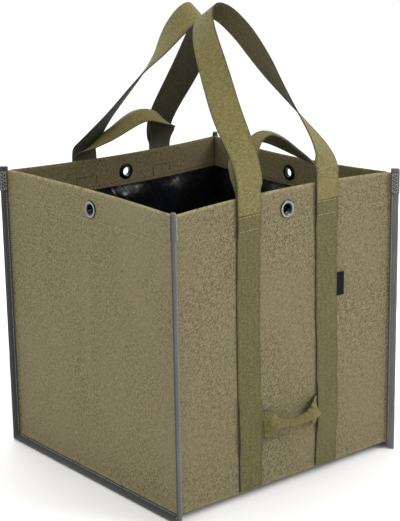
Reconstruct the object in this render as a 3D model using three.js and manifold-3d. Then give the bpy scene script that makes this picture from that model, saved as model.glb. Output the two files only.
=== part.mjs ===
// Canvas log carrier: a square open-topped bag for firewood, in waxed canvas with a black lining.
// Millimetres, +Z up. The front wall, with the tip handle and the side label, faces -Y.
// One length of canvas makes the front, base and back, and two panels close the sides.
// The four corners and the bottom edges of the sides are seams turned out and bound with tape.

import * as THREE from "three";
import { mergeVertices } from "three/addons/utils/BufferGeometryUtils.js";
import Module from "manifold-3d";

// Bag body
const bagWidth = 380;
const bagDepth = 380;
const bagHeight = 400;
const canvasThickness = 1.4;
const hemDepth = 44;
const hemBevel = 0.6;
const liningThickness = 1.0;
const clearance = 0.3;
const baseSag = 8;

// Seams and their binding
const flangeLength = 12;
const tapeThickness = 1.0;
const tapeSetback = 2;
const tapeBevel = 0.8;
const capHeight = 30;
const capThickness = 1.8;

// Webbing
const webbingWidth = 40;
const webbingThickness = 1.8;
const webbingGap = 0.5;
const strapOffset = 69;
const stitchDepth = 22;
const handleRise = 247;
const shortHandleBase = 43;
const shortHandleRise = 116;
const shortHandleReach = 52;
const tipHandleHeight = 88;
const tipHandleBow = 30;
const tipHandleTuck = 16;

// Eyelets
const eyeletDrop = 26;
const eyeletRadius = 11.5;
const eyeletBore = 6.2;
const barrelWall = 0.8;
const eyeletDome = 1.3;
const washerRadius = 10.6;
const washerThickness = 0.6;
const washerRound = 0.4;
const eyeletSides = 20;

// Side label
const labelHeight = 33;
const labelWidth = 9.5;
const labelThickness = 1.0;
const labelLevel = 258;

// Derived sizes of the cloth
const halfWidth = bagWidth / 2;
const halfDepth = bagDepth / 2;
const hemThickness = 2 * canvasThickness + clearance;
const hemLine = bagHeight - hemDepth;
const cornerReturn = 6;

const X = new THREE.Vector3(1, 0, 0);
const Y = new THREE.Vector3(0, 1, 0);
const Z = new THREE.Vector3(0, 0, 1);
const { clamp, lerp, smoothstep, degToRad } = THREE.MathUtils;

// How each wall's rim stands: bow is how far it leans in and arch how far it rises at its middle,
// as shares of the bag's width and height.
const facing = (outward, along, reach, half) => ({ outward, along, reach, half });
const walls = {
  front: { ...facing(Y.clone().negate(), X, halfDepth, halfWidth), bow: 0.005, arch: 0.015 },
  back: { ...facing(Y, X, halfDepth, halfWidth), bow: 0.052, arch: 0 },
  left: { ...facing(X.clone().negate(), Y, halfWidth, halfDepth), bow: 0.021, arch: 0 },
  right: { ...facing(X, Y, halfWidth, halfDepth), bow: 0.032, arch: -0.007 },
};
const bowStart = 0.45;
const archStart = 0.8;

// Rows and columns of cloth, as shares of the height below the hem and of the half width
const rowShares = [0.16, 0.33, 0.5, 0.67, 0.84];
const columnShares = [-5 / 7, -3 / 7, -1 / 7, 1 / 7, 3 / 7, 5 / 7];
const strapColumn = 3 / 7;
const eyeletColumn = 1 / 7;
const strapColumns = [-1, 0, 1].map((share) => strapOffset + (share * webbingWidth) / 2);
const wrapColumns = [-1, 1].flatMap((side) => {
  const plain = columnShares.filter((share) => share * side > 0 && share * side !== strapColumn);
  return [...plain.map((share) => share * halfWidth), ...strapColumns.map((x) => side * x)];
}).sort((a, b) => a - b);
const sideColumns = columnShares.map((share) => share * halfDepth);

// Sections of webbing from one row of a handle's path to the next
const stepsPerRow = 2;

// Long handles, from the left foot over the top to the right foot: x is a share of strapOffset,
// rise a share of handleRise, and turn is the angle of the webbing's width from level, in degrees.
const frontHandlePath = [
  { x: -1.0, rise: 0.0, turn: 0 },
  { x: -1.0, rise: 0.06, turn: 0 },
  { x: -1.0, rise: 0.15, turn: 0 },
  { x: -0.9, rise: 0.2, turn: 3 },
  { x: -0.82, rise: 0.29, turn: 12 },
  { x: -0.81, rise: 0.39, turn: 24 },
  { x: -0.79, rise: 0.5, turn: 36 },
  { x: -0.72, rise: 0.61, turn: 47 },
  { x: -0.64, rise: 0.73, turn: 57 },
  { x: -0.57, rise: 0.83, turn: 67 },
  { x: -0.49, rise: 0.9, turn: 76 },
  { x: -0.35, rise: 0.965, turn: 84 },
  { x: -0.1, rise: 1.0, turn: 90 },
  { x: 0.17, rise: 0.97, turn: 92 },
  { x: 0.34, rise: 0.91, turn: 92 },
  { x: 0.46, rise: 0.85, turn: 93 },
  { x: 0.56, rise: 0.77, turn: 96 },
  { x: 0.66, rise: 0.68, turn: 104 },
  { x: 0.75, rise: 0.59, turn: 118 },
  { x: 0.87, rise: 0.49, turn: 132 },
  { x: 1.0, rise: 0.385, turn: 145 },
  { x: 1.1, rise: 0.3, turn: 158 },
  { x: 1.12, rise: 0.22, turn: 170 },
  { x: 1.05, rise: 0.18, turn: 178 },
  { x: 1.0, rise: 0.15, turn: 180 },
  { x: 1.0, rise: 0.06, turn: 180 },
  { x: 1.0, rise: 0.0, turn: 180 },
];
const backHandlePath = [
  { x: -1.0, rise: 0.0, turn: 0 },
  { x: -1.0, rise: 0.06, turn: 0 },
  { x: -1.0, rise: 0.15, turn: 0 },
  { x: -0.96, rise: 0.2, turn: 8 },
  { x: -0.86, rise: 0.3, turn: 33 },
  { x: -0.74, rise: 0.39, turn: 46 },
  { x: -0.62, rise: 0.48, turn: 54 },
  { x: -0.48, rise: 0.59, turn: 66 },
  { x: -0.36, rise: 0.69, turn: 77 },
  { x: -0.28, rise: 0.79, turn: 84 },
  { x: -0.19, rise: 0.87, turn: 88 },
  { x: -0.07, rise: 0.94, turn: 90 },
  { x: 0.12, rise: 0.985, turn: 90 },
  { x: 0.33, rise: 0.96, turn: 92 },
  { x: 0.48, rise: 0.9, turn: 97 },
  { x: 0.6, rise: 0.81, turn: 108 },
  { x: 0.68, rise: 0.7, turn: 124 },
  { x: 0.71, rise: 0.59, turn: 138 },
  { x: 0.7, rise: 0.48, turn: 148 },
  { x: 0.7, rise: 0.37, turn: 155 },
  { x: 0.75, rise: 0.28, turn: 162 },
  { x: 0.87, rise: 0.21, turn: 173 },
  { x: 1.0, rise: 0.15, turn: 180 },
  { x: 1.0, rise: 0.06, turn: 180 },
  { x: 1.0, rise: 0.0, turn: 180 },
];
// Where each long handle's top stands, as a share of the half depth, and where its lean starts
const frontApex = -0.235;
const backApex = 0.045;
const leanStart = 0.15;

// Half a short handle, from its foot to its middle: x is a share of strapOffset, rise and reach
// shares of shortHandleRise and shortHandleReach, turn and fold are angles in degrees.
const shortHandlePath = [
  { x: 1.0, rise: 0.0, reach: 0.0, turn: 0, fold: 0 },
  { x: 1.0, rise: 0.22, reach: 0.0, turn: 0, fold: 0 },
  { x: 1.0, rise: 0.41, reach: 0.0, turn: 0, fold: 0 },
  { x: 0.99, rise: 0.51, reach: 0.18, turn: 0, fold: 0 },
  { x: 0.96, rise: 0.58, reach: 0.38, turn: 3, fold: 10 },
  { x: 0.89, rise: 0.67, reach: 0.56, turn: 14, fold: 28 },
  { x: 0.76, rise: 0.76, reach: 0.71, turn: 34, fold: 44 },
  { x: 0.55, rise: 0.87, reach: 0.85, turn: 60, fold: 55 },
  { x: 0.28, rise: 0.96, reach: 0.96, turn: 80, fold: 60 },
  { x: 0.0, rise: 1.0, reach: 1.0, turn: 90, fold: 60 },
];
// Half the tip handle, from the strap's edge to its middle: x is a share of the half gap between
// the straps, out a share of tipHandleBow, and fold an angle in degrees.
const tipHandlePath = [
  { x: 0.97, out: 0.0, fold: 0 },
  { x: 0.93, out: 0.08, fold: 3 },
  { x: 0.9, out: 0.24, fold: 10 },
  { x: 0.86, out: 0.48, fold: 22 },
  { x: 0.76, out: 0.7, fold: 42 },
  { x: 0.53, out: 0.86, fold: 60 },
  { x: 0.27, out: 0.96, fold: 68 },
  { x: 0.0, out: 1.0, fold: 70 },
];

const materials = {
  canvas: new THREE.MeshStandardMaterial({ color: 0x8b8464, roughness: 0.92, metalness: 0 }),
  lining: new THREE.MeshStandardMaterial({ color: 0x0e0f11, roughness: 0.35, metalness: 0 }),
  tape: new THREE.MeshStandardMaterial({ color: 0x55585a, roughness: 0.85, metalness: 0 }),
  webbing: new THREE.MeshStandardMaterial({ color: 0x757146, roughness: 0.85, metalness: 0 }),
  nickel: new THREE.MeshStandardMaterial({ color: 0xc9c9cc, roughness: 0.2, metalness: 1 }),
  darkMetal: new THREE.MeshStandardMaterial({ color: 0x1b1a19, roughness: 0.4, metalness: 0.8 }),
  label: new THREE.MeshStandardMaterial({ color: 0x17181a, roughness: 0.8, metalness: 0 }),
};

// How much of a rim's bow or arch shows at a height: the stiff hem stands straight
function rimShare(height, start) {
  const low = start * bagHeight;
  if (height < hemLine) return smoothstep(height, low, bagHeight);
  const atHem = smoothstep(hemLine, low, bagHeight);
  return atHem + (1 - atHem) * clamp((height - hemLine) / hemDepth, 0, 1);
}

// A point of a wall: across and height run along its face, and depth runs in from its outer face.
function wallPoint(wall, across, height, depth) {
  const side = clamp(across / (wall.half - cornerReturn), -1, 1);
  const middle = 1 - side * side;
  const bow = wall.bow * bagWidth * middle * rimShare(height, bowStart);
  const arch = wall.arch * bagHeight * middle * rimShare(height, archStart);
  return new THREE.Vector3()
    .addScaledVector(wall.outward, wall.reach - depth - bow)
    .addScaledVector(wall.along, across)
    .setZ(height + arch);
}

// A point of the base, which sags between its seams; depth runs up from its outer face.
function basePoint(x, y, depth) {
  const sideX = clamp(x / (halfWidth - cornerReturn), -1, 1);
  const sideY = clamp(y / (halfDepth - cornerReturn), -1, 1);
  return new THREE.Vector3(x, y, depth - baseSag * (1 - sideX * sideX) * (1 - sideY * sideY));
}

// A grid of cloth: pointAt gives each column and row a place and how far the cloth reaches to its
// outer and inner side there. Its cells are cut by diagonals that mirror about the middle column.
function sheet(columns, rows, pointAt, turned = false) {
  const points = [];
  for (const row of rows) {
    for (const column of columns) points.push(pointAt(column, row));
  }
  const triangles = [];
  const wide = columns.length;
  for (let j = 0; j + 1 < rows.length; j++) {
    for (let i = 0; i + 1 < wide; i++) {
      const a = j * wide + i;
      const [b, c, d] = [a + 1, a + wide + 1, a + wide];
      const leftHalf = i < (wide - 1) / 2;
      const cell = leftHalf ? [[a, b, c], [a, c, d]] : [[a, b, d], [b, c, d]];
      for (const triangle of cell) triangles.push(turned ? triangle.reverse() : triangle);
    }
  }
  return { points, triangles };
}

// Sheets that share edges become one closed solid with a true wall on either side of them.
function cloth(...sheets) {
  const found = new Map();
  const points = [];
  const triangles = [];
  for (const part of sheets) {
    const numbers = part.points.map((point) => {
      const key = point.at.toArray().map((value) => Math.round(value * 1000)).join(" ");
      if (!found.has(key)) found.set(key, points.push(point) - 1);
      return found.get(key);
    });
    for (const triangle of part.triangles) triangles.push(triangle.map((corner) => numbers[corner]));
  }
  const sums = points.map(() => ({ normal: new THREE.Vector3(), angle: 0 }));
  const edges = new Set();
  for (const triangle of triangles) {
    const [a, b, c] = triangle.map((corner) => points[corner].at);
    const normal = b.clone().sub(a).cross(c.clone().sub(a)).normalize();
    triangle.forEach((corner, i) => {
      const next = triangle[(i + 1) % 3];
      const last = triangle[(i + 2) % 3];
      const here = points[corner].at;
      const angle = points[next].at.clone().sub(here).angleTo(points[last].at.clone().sub(here));
      sums[corner].normal.addScaledVector(normal, angle);
      sums[corner].angle += angle;
      edges.add(`${corner} ${next}`);
    });
  }
  const count = points.length;
  const vertices = new Float32Array(6 * count);
  points.forEach((point, i) => {
    const mean = sums[i].normal.divideScalar(sums[i].angle);
    mean.divideScalar(mean.lengthSq());
    point.at.clone().addScaledVector(mean, point.outside).toArray(vertices, 3 * i);
    point.at.clone().addScaledVector(mean, -point.inside).toArray(vertices, 3 * (count + i));
  });
  const index = [];
  for (const [a, b, c] of triangles) index.push(a, b, c, count + c, count + b, count + a);
  for (const edge of edges) {
    const [a, b] = edge.split(" ").map(Number);
    if (edges.has(`${b} ${a}`)) continue;
    index.push(b, a, count + a, b, count + a, count + b);
  }
  const geometry = new THREE.BufferGeometry();
  geometry.setAttribute("position", new THREE.BufferAttribute(vertices, 3));
  geometry.setIndex(index);
  return geometry;
}

// Closed meshes cut by one another
const wasm = await Module();
wasm.setup();

function toSolid(geometry) {
  const bare = new THREE.BufferGeometry();
  bare.setAttribute("position", geometry.getAttribute("position"));
  bare.setIndex(geometry.getIndex());
  const merged = mergeVertices(bare);
  return new wasm.Manifold(
    new wasm.Mesh({
      numProp: 3,
      vertProperties: new Float32Array(merged.getAttribute("position").array),
      triVerts: new Uint32Array(merged.getIndex().array),
    }),
  );
}

function fromSolid(solid) {
  const mesh = solid.getMesh();
  const geometry = new THREE.BufferGeometry();
  geometry.setAttribute("position", new THREE.BufferAttribute(mesh.vertProperties, 3));
  geometry.setIndex(new THREE.BufferAttribute(mesh.triVerts, 1));
  return geometry;
}

function cut(geometry, tools) {
  return fromSolid(tools.reduce((solid, tool) => solid.subtract(toSolid(tool)), toSolid(geometry)));
}

// The frame of the eyelet in a wall: its place on the outer face, between the two middle columns of
// cloth, and the way it points out
function eyeletFrame(wall) {
  const column = eyeletColumn * wall.half;
  const rim = wallPoint(wall, column, bagHeight, 0);
  const foot = wallPoint(wall, column, hemLine + hemBevel, 0);
  const upward = rim.clone().sub(foot);
  const share = 1 - eyeletDrop / upward.length();
  const at = foot.addScaledVector(upward, share);
  at.addScaledVector(wall.along, -column);
  const axis = wall.along.clone().cross(upward).normalize();
  if (axis.dot(wall.outward) < 0) axis.negate();
  return new THREE.Matrix4().compose(
    at,
    new THREE.Quaternion().setFromUnitVectors(Y, axis),
    new THREE.Vector3(1, 1, 1),
  );
}

function eyeletHole(wall) {
  const radius = eyeletBore + barrelWall + clearance;
  const length = 8 * hemThickness;
  return new THREE.CylinderGeometry(radius, radius, length, eyeletSides).applyMatrix4(eyeletFrame(wall));
}

// A seam point beside a corner: out runs along the turned-out flange and over across its layers,
// towards the side panel. It gives the offsets beyond the side face and beyond the front face.
function seamOffsets(out, over) {
  return { side: (out + over) / Math.SQRT2, face: (out - over) / Math.SQRT2 };
}
const layerOffset = (canvasThickness + clearance) / 2;
const wrapTip = seamOffsets(flangeLength, -layerOffset);
const wrapBend = {
  side: -canvasThickness / 2 - Math.SQRT2 * layerOffset,
  face: -canvasThickness / 2,
};

const thin = { outside: canvasThickness / 2, inside: canvasThickness / 2 };
const hemmed = { outside: canvasThickness / 2, inside: hemThickness - canvasThickness / 2 };

// Columns across a canvas panel: flange tips, bends and the panel between, each with its depth
function panelColumns(half, inner, tipAcross, tipDepth, bendAcross) {
  const panel = [-(half - cornerReturn), ...inner, half - cornerReturn];
  const edge = (sign) => [
    { across: sign * (half + tipAcross), depth: tipDepth, hem: false },
    { across: sign * (half + bendAcross), depth: canvasThickness / 2, hem: false },
  ];
  return [
    ...edge(-1),
    ...panel.map((across) => ({ across, depth: canvasThickness / 2, hem: true })),
    ...edge(1).reverse(),
  ];
}

// Heights of a canvas panel above its lowest rows
const panelRows = [
  ...rowShares.map((share) => ({ height: share * hemLine, hem: false })),
  { height: hemLine, hem: false },
  { height: hemLine + hemBevel, hem: true },
  { height: bagHeight, hem: true },
];

// Rows of the base from front to back; the two edge rows lie on the folds
const baseRows = [
  { edge: -1 },
  { y: -(halfDepth - cornerReturn) },
  ...sideColumns.map((y) => ({ y })),
  { y: halfDepth - cornerReturn },
  { edge: 1 },
];

function panelPoint(wall) {
  return (column, row) => ({
    at: wallPoint(wall, column.across, row.height ?? column.depth, column.depth),
    ...(row.hem && column.hem ? hemmed : thin),
  });
}

// The long canvas panel: front wall, base and back wall in one
function wrapPanel() {
  const columns = panelColumns(halfWidth, wrapColumns, wrapTip.side, -wrapTip.face, wrapBend.side);
  const rows = [{ hem: false }, ...panelRows];
  const base = sheet(columns, baseRows, (column, row) => ({
    at: basePoint(column.across, row.y ?? row.edge * (halfDepth - column.depth), column.depth),
    ...thin,
  }), true);
  const front = sheet(columns, rows, panelPoint(walls.front));
  const back = sheet(columns, rows, panelPoint(walls.back), true);
  return cut(cloth(front, base, back), [eyeletHole(walls.front), eyeletHole(walls.back)]);
}

// A side panel: its flange runs down one edge, along the bottom and up the other edge
function sidePanel(wall) {
  const tip = seamOffsets(flangeLength, layerOffset);
  const columns = panelColumns(wall.half, sideColumns, tip.face, -tip.side, wrapBend.side);
  const rows = [
    { height: -tip.face, tip: true },
    { height: -wrapBend.side, hem: false },
    ...panelRows,
  ];
  const place = panelPoint(wall);
  const panel = sheet(columns, rows, (column, row) => {
    if (!row.tip) return place(column, row);
    return { at: wallPoint(wall, column.across, row.height, -tip.side), ...thin };
  }, wall === walls.left);
  return cut(cloth(panel), [eyeletHole(wall)]);
}

// The lining: an open box inside the canvas that ends under the hem
function lining() {
  const depth = canvasThickness + clearance + liningThickness / 2;
  const half = liningThickness / 2;
  const skin = { outside: half, inside: half };
  const columnsOf = (span, inner) => [
    -(span - depth),
    -(span - cornerReturn),
    ...inner,
    span - cornerReturn,
    span - depth,
  ];
  const acrossX = columnsOf(halfWidth, wrapColumns);
  const acrossY = columnsOf(halfDepth, sideColumns);
  const rows = [depth, ...rowShares.map((share) => share * hemLine), hemLine - clearance];
  const sides = Object.values(walls).map((wall) =>
    sheet(
      wall.along === X ? acrossX : acrossY,
      rows,
      (across, height) => ({ at: wallPoint(wall, across, height, depth), ...skin }),
      wall === walls.back || wall === walls.left,
    ),
  );
  const floor = sheet(acrossX, acrossY, (x, y) => ({ at: basePoint(x, y, depth), ...skin }), true);
  return cloth(...sides, floor);
}

// The binding's section round the flange, as out and over offsets from the seam
const slotHalf = canvasThickness + clearance / 2 + clearance;
const tapeHalf = slotHalf + tapeThickness;
const tapeEnd = flangeLength + clearance + tapeThickness;
const tapeSection = [
  [tapeSetback, -tapeHalf],
  [tapeEnd - tapeBevel, -tapeHalf],
  [tapeEnd, -tapeHalf + tapeBevel],
  [tapeEnd, tapeHalf - tapeBevel],
  [tapeEnd - tapeBevel, tapeHalf],
  [tapeSetback, tapeHalf],
  [tapeSetback, slotHalf],
  [flangeLength + clearance, slotHalf],
  [flangeLength + clearance, -slotHalf],
  [tapeSetback, -slotHalf],
];

// A closed section, given flat, carried along the places of its corners at a row of stations
function loft(section, stations) {
  const count = section.length;
  const vertices = stations.flat().flatMap((point) => point.toArray());
  const index = [];
  for (let j = 0; j + 1 < stations.length; j++) {
    for (let i = 0; i < count; i++) {
      const next = (i + 1) % count;
      const [a, b] = [j * count + i, j * count + next];
      index.push(a, b, b + count, a, b + count, a + count);
    }
  }
  const flat = section.map(([out, over]) => new THREE.Vector2(out, over));
  const last = (stations.length - 1) * count;
  for (const [a, b, c] of THREE.ShapeUtils.triangulateShape(flat, [])) {
    index.push(c, b, a, last + a, last + b, last + c);
  }
  const geometry = new THREE.BufferGeometry();
  geometry.setAttribute("position", new THREE.Float32BufferAttribute(vertices, 3));
  geometry.setIndex(index);
  return geometry;
}

// The binding tape of one side, down a corner, along the bottom and up the other corner
function binding(side) {
  const top = bagHeight - capHeight - clearance;
  const station = (y, height) =>
    tapeSection.map(([out, over]) => {
      const offset = seamOffsets(out, over);
      return new THREE.Vector3(
        side * (halfWidth + offset.side),
        y * (halfDepth + offset.face),
        height ?? -offset.face,
      );
    });
  const stations = [station(-1, top), station(-1), station(1), station(1, top)];
  if (side > 0) stations.reverse();
  return loft(tapeSection, stations);
}

// The tape folded over the top end of a corner seam, open below
function cornerCap(sideX, sideY) {
  const outer = slotHalf + capThickness;
  const slotEnd = flangeLength + clearance;
  const end = slotEnd + capThickness;
  const slotHeight = capHeight + clearance;
  const height = slotHeight + capThickness;
  const low = bagHeight - capHeight;
  const block = new THREE.BoxGeometry(end - tapeSetback, 2 * outer, height);
  block.translate((end + tapeSetback) / 2, 0, low + height / 2);
  const slot = new THREE.BoxGeometry(2 * slotEnd, 2 * slotHalf, 2 * slotHeight);
  slot.translate(0, 0, low);
  const place = new THREE.Matrix4()
    .makeRotationZ(Math.atan2(sideY, sideX))
    .setPosition(sideX * halfWidth, sideY * halfDepth, 0);
  return cut(block, [slot]).applyMatrix4(place);
}

// A length of webbing through sections that each give its centre, the way of its width, the way
// it faces and the angle at which its two halves fold back from the middle
function webbing(sections) {
  const half = webbingThickness / 2;
  const pointAt = (share, { centre, across, facing, fold = 0 }) => {
    const reach = (webbingWidth / 2) * Math.abs(share);
    const at = centre
      .clone()
      .addScaledVector(across, Math.sign(share) * reach * Math.cos(degToRad(fold)))
      .addScaledVector(facing, -reach * Math.sin(degToRad(fold)));
    return { at, outside: half, inside: half };
  };
  return cloth(sheet([-1, 0, 1], sections, pointAt));
}

// A strap on the outside of the bag: up the front, under the base and up the back
const layer = webbingThickness + clearance;
const strapDepth = -(webbingGap + webbingThickness / 2);
const stitchLine = bagHeight - stitchDepth;
const shortHandleFoot = bagHeight - shortHandleBase;

// Heights between which a strap rises over another layer of webbing, and those where it lies on it
const rampLength = 14;
const tipLift = 0.7 * webbingWidth;
const lifts = {
  tipHandle: { low: tipHandleHeight - tipLift, high: tipHandleHeight + tipLift },
  shortHandle: { low: shortHandleFoot - webbingGap, high: bagHeight },
};

function liftAt(height, lift) {
  const rising = clamp((height - lift.low + rampLength) / rampLength, 0, 1);
  const falling = clamp((lift.high + rampLength - height) / rampLength, 0, 1);
  return Math.min(rising, falling);
}

function strapRows(lifted) {
  const top = stitchLine - clearance / 2;
  const knots = lifted.flatMap(({ low, high }) => [low - rampLength, low, high, high + rampLength]);
  const heights = [...panelRows.map((row) => row.height), ...knots]
    .filter((height) => height < top)
    .sort((a, b) => a - b);
  return [undefined, ...heights, top];
}

function strap(side) {
  const columns = [-1, 0, 1].map((share) => side * strapOffset + (share * webbingWidth) / 2);
  const reach = { outside: webbingThickness / 2, inside: webbingThickness / 2 };
  const onWall = (wall, lifted) => (across, height) => {
    const lift = height === undefined ? 0 : Math.max(...lifted.map((each) => liftAt(height, each)));
    const depth = strapDepth - lift * layer;
    return { at: wallPoint(wall, across, height ?? depth, depth), ...reach };
  };
  const wallStrap = (wall, lifted, turned) =>
    sheet(columns, strapRows(lifted), onWall(wall, lifted), turned);
  const under = sheet(columns, baseRows, (x, row) => ({
    at: basePoint(x, row.y ?? row.edge * (halfDepth - strapDepth), strapDepth),
    ...reach,
  }), true);
  return cloth(
    wallStrap(walls.front, [lifts.tipHandle, lifts.shortHandle], false),
    under,
    wallStrap(walls.back, [lifts.shortHandle], true),
  );
}

// The way a strap's width runs along a wall at a place across it
function alongWall(wall, across, height) {
  const near = wallPoint(wall, across - webbingWidth / 2, height, 0);
  return wallPoint(wall, across + webbingWidth / 2, height, 0).sub(near).setZ(0).normalize();
}

// Webbing whose width turns from level at its foot to upright at its top: it faces out at the wall
function turned(wall, centre, tangent, upright, turn) {
  const level = alongWall(wall, centre.x, centre.z);
  const across = level.multiplyScalar(Math.cos(turn)).addScaledVector(upright, Math.sin(turn));
  const facing = across.clone().cross(tangent).normalize();
  return { centre, across: tangent.clone().cross(facing), facing };
}

// A handle over the rim of a wall, smooth along its path's rows: rise and reach give the sizes of
// the rows' shares, up and in from its foot, and depth says in which layer its legs lie.
function handle(wall, path, { depth, low, rise, reach }) {
  const inward = -wall.outward.y;
  const foot = wallPoint(wall, strapOffset, low, depth).z;
  const places = path.map(
    (row) => new THREE.Vector3(row.x * strapOffset, row.rise * rise, row.reach * reach),
  );
  const curve = new THREE.CatmullRomCurve3(places, false, "centripetal");
  const steps = stepsPerRow * (path.length - 1);
  const centres = Array.from({ length: steps + 1 }, (_, i) => {
    const place = curve.getPoint(i / steps);
    const height = foot + place.y;
    const point = wallPoint(wall, place.x, height, depth).setZ(height);
    return point.addScaledVector(Y, inward * Math.max(0, place.z));
  });
  const upright = new THREE.Vector3(0, -inward * rise, reach).normalize();
  const sections = centres.map((centre, i) => {
    const along = i / stepsPerRow;
    const [before, after] = [path[Math.floor(along)], path[Math.ceil(along)]];
    const between = (name) => lerp(before[name], after[name], along % 1);
    const tangent = centres[Math.min(steps, i + 1)].clone().sub(centres[Math.max(0, i - 1)]).normalize();
    if (i === 0 || i === steps) tangent.set(0, 0, Math.sign(tangent.z));
    const fold = inward * between("fold");
    return { ...turned(wall, centre, tangent, upright, degToRad(between("turn"))), fold };
  });
  return webbing(sections);
}

// A long handle leaves its wall at the stitch line and leans in to the middle.
function longHandle(wall, path, apex) {
  const depth = strapDepth - layer;
  const low = stitchLine + clearance / 2;
  const foot = wallPoint(wall, strapOffset, low, depth);
  const leaning = path.map((row) => ({
    ...row,
    reach: Math.max(0, row.rise - leanStart) / (1 - leanStart),
    fold: 0,
  }));
  const reach = Math.abs(apex * halfDepth - foot.y);
  return handle(wall, leaning, { depth, low, rise: handleRise, reach });
}

// A short handle has flat legs behind the long handle, then an arch folded along its middle.
function shortHandle(wall) {
  const leg = shortHandlePath.map((row) => ({ ...row, x: -row.x }));
  const otherLeg = shortHandlePath.slice(0, -1).reverse().map((row) => ({ ...row, turn: 180 - row.turn }));
  return handle(wall, [...leg, ...otherLeg], {
    depth: strapDepth,
    low: shortHandleFoot,
    rise: shortHandleRise,
    reach: shortHandleReach,
  });
}

// The tip handle: low on the front wall between the straps, folded in its middle
function tipHandle() {
  const halfGap = strapOffset - webbingWidth / 2;
  const flat = wallPoint(walls.front, 0, tipHandleHeight, strapDepth);
  const half = tipHandlePath.map(({ x, out, fold }) => ({
    centre: new THREE.Vector3(x * halfGap, flat.y - out * tipHandleBow, flat.z),
    fold,
  }));
  half.unshift({ centre: new THREE.Vector3(halfGap + tipHandleTuck, flat.y, flat.z), fold: 0 });
  const mirrored = half.slice(0, -1).map(({ centre, fold }) => ({
    centre: new THREE.Vector3(-centre.x, centre.y, centre.z),
    fold,
  }));
  const path = [...mirrored, ...half.reverse()];
  const sections = path.map(({ centre, fold }, i) => {
    const before = path[Math.max(0, i - 1)].centre;
    const after = path[Math.min(path.length - 1, i + 1)].centre;
    const tangent = after.clone().sub(before).normalize();
    const across = Z.clone().negate();
    return { centre, across, facing: across.clone().cross(tangent).normalize(), fold };
  });
  return webbing(sections);
}

// An eyelet: domed flange outside, a barrel through the hem and a rolled lip inside
function eyelet() {
  const barrel = eyeletBore + barrelWall;
  const washerTop = -(hemThickness + clearance);
  const lip = washerTop - washerThickness - clearance;
  const profile = [
    [eyeletBore, lip - barrelWall],
    [barrel + barrelWall, lip - barrelWall],
    [barrel + barrelWall, lip],
    [barrel, lip],
    [barrel, clearance],
    [eyeletRadius, clearance],
    [eyeletRadius, clearance + 0.4 * eyeletDome],
    [(eyeletRadius + barrel) / 2, clearance + eyeletDome],
    [barrel, clearance + eyeletDome],
    [eyeletBore, clearance + 0.3 * eyeletDome],
    [eyeletBore, lip - barrelWall],
  ];
  return new THREE.LatheGeometry(profile.map(([r, h]) => new THREE.Vector2(r, h)), eyeletSides);
}

function washer() {
  const bore = eyeletBore + barrelWall + clearance;
  const top = -(hemThickness + clearance);
  const profile = [
    [bore, top - washerThickness],
    [washerRadius - washerRound, top - washerThickness],
    [washerRadius, top - washerThickness / 2],
    [washerRadius, top],
    [bore, top],
    [bore, top - washerThickness],
  ];
  return new THREE.LatheGeometry(profile.map(([r, h]) => new THREE.Vector2(r, h)), eyeletSides);
}

function sideLabel() {
  const across = strapOffset + (webbingWidth + labelWidth) / 2 + clearance;
  const at = wallPoint(walls.front, across, labelLevel, -(webbingGap + labelThickness / 2));
  return new THREE.BoxGeometry(labelWidth, labelThickness, labelHeight).translate(at.x, at.y, at.z);
}

const body = new THREE.Group();
const carrier = new THREE.Group();
carrier.add(body);

function add(name, geometry, material, frame) {
  const mesh = new THREE.Mesh(geometry, material);
  mesh.name = name;
  if (frame) mesh.applyMatrix4(frame);
  body.add(mesh);
}

add("wrap_panel", wrapPanel(), materials.canvas);
add("side_panel_left", sidePanel(walls.left), materials.canvas);
add("side_panel_right", sidePanel(walls.right), materials.canvas);
add("lining", lining(), materials.lining);
for (const [name, side] of [["left", -1], ["right", 1]]) {
  add(`binding_${name}`, binding(side), materials.tape);
  add(`corner_cap_front_${name}`, cornerCap(side, -1), materials.tape);
  add(`corner_cap_back_${name}`, cornerCap(side, 1), materials.tape);
  add(`strap_${name}`, strap(side), materials.webbing);
}
add("handle_front", longHandle(walls.front, frontHandlePath, frontApex), materials.webbing);
add("handle_back", longHandle(walls.back, backHandlePath, backApex), materials.webbing);
add("short_handle_front", shortHandle(walls.front), materials.webbing);
add("short_handle_back", shortHandle(walls.back), materials.webbing);
add("tip_handle", tipHandle(), materials.webbing);
add("side_label", sideLabel(), materials.label);
for (const [name, wall] of Object.entries(walls)) {
  add(`eyelet_${name}`, eyelet(), materials.nickel, eyeletFrame(wall));
  add(`washer_${name}`, washer(), materials.darkMetal, eyeletFrame(wall));
}

// The carrier stands on its bottom bindings, centred over the origin.
const bounds = new THREE.Box3().setFromObject(body, true);
const centre = bounds.getCenter(new THREE.Vector3());
body.position.set(-centre.x, -centre.y, -bounds.min.z);

export default carrier;
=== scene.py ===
import math
from collections import namedtuple

import bpy
from bpy.props import FloatProperty, FloatVectorProperty, PointerProperty
from mathutils import Matrix, Vector, noise


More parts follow.
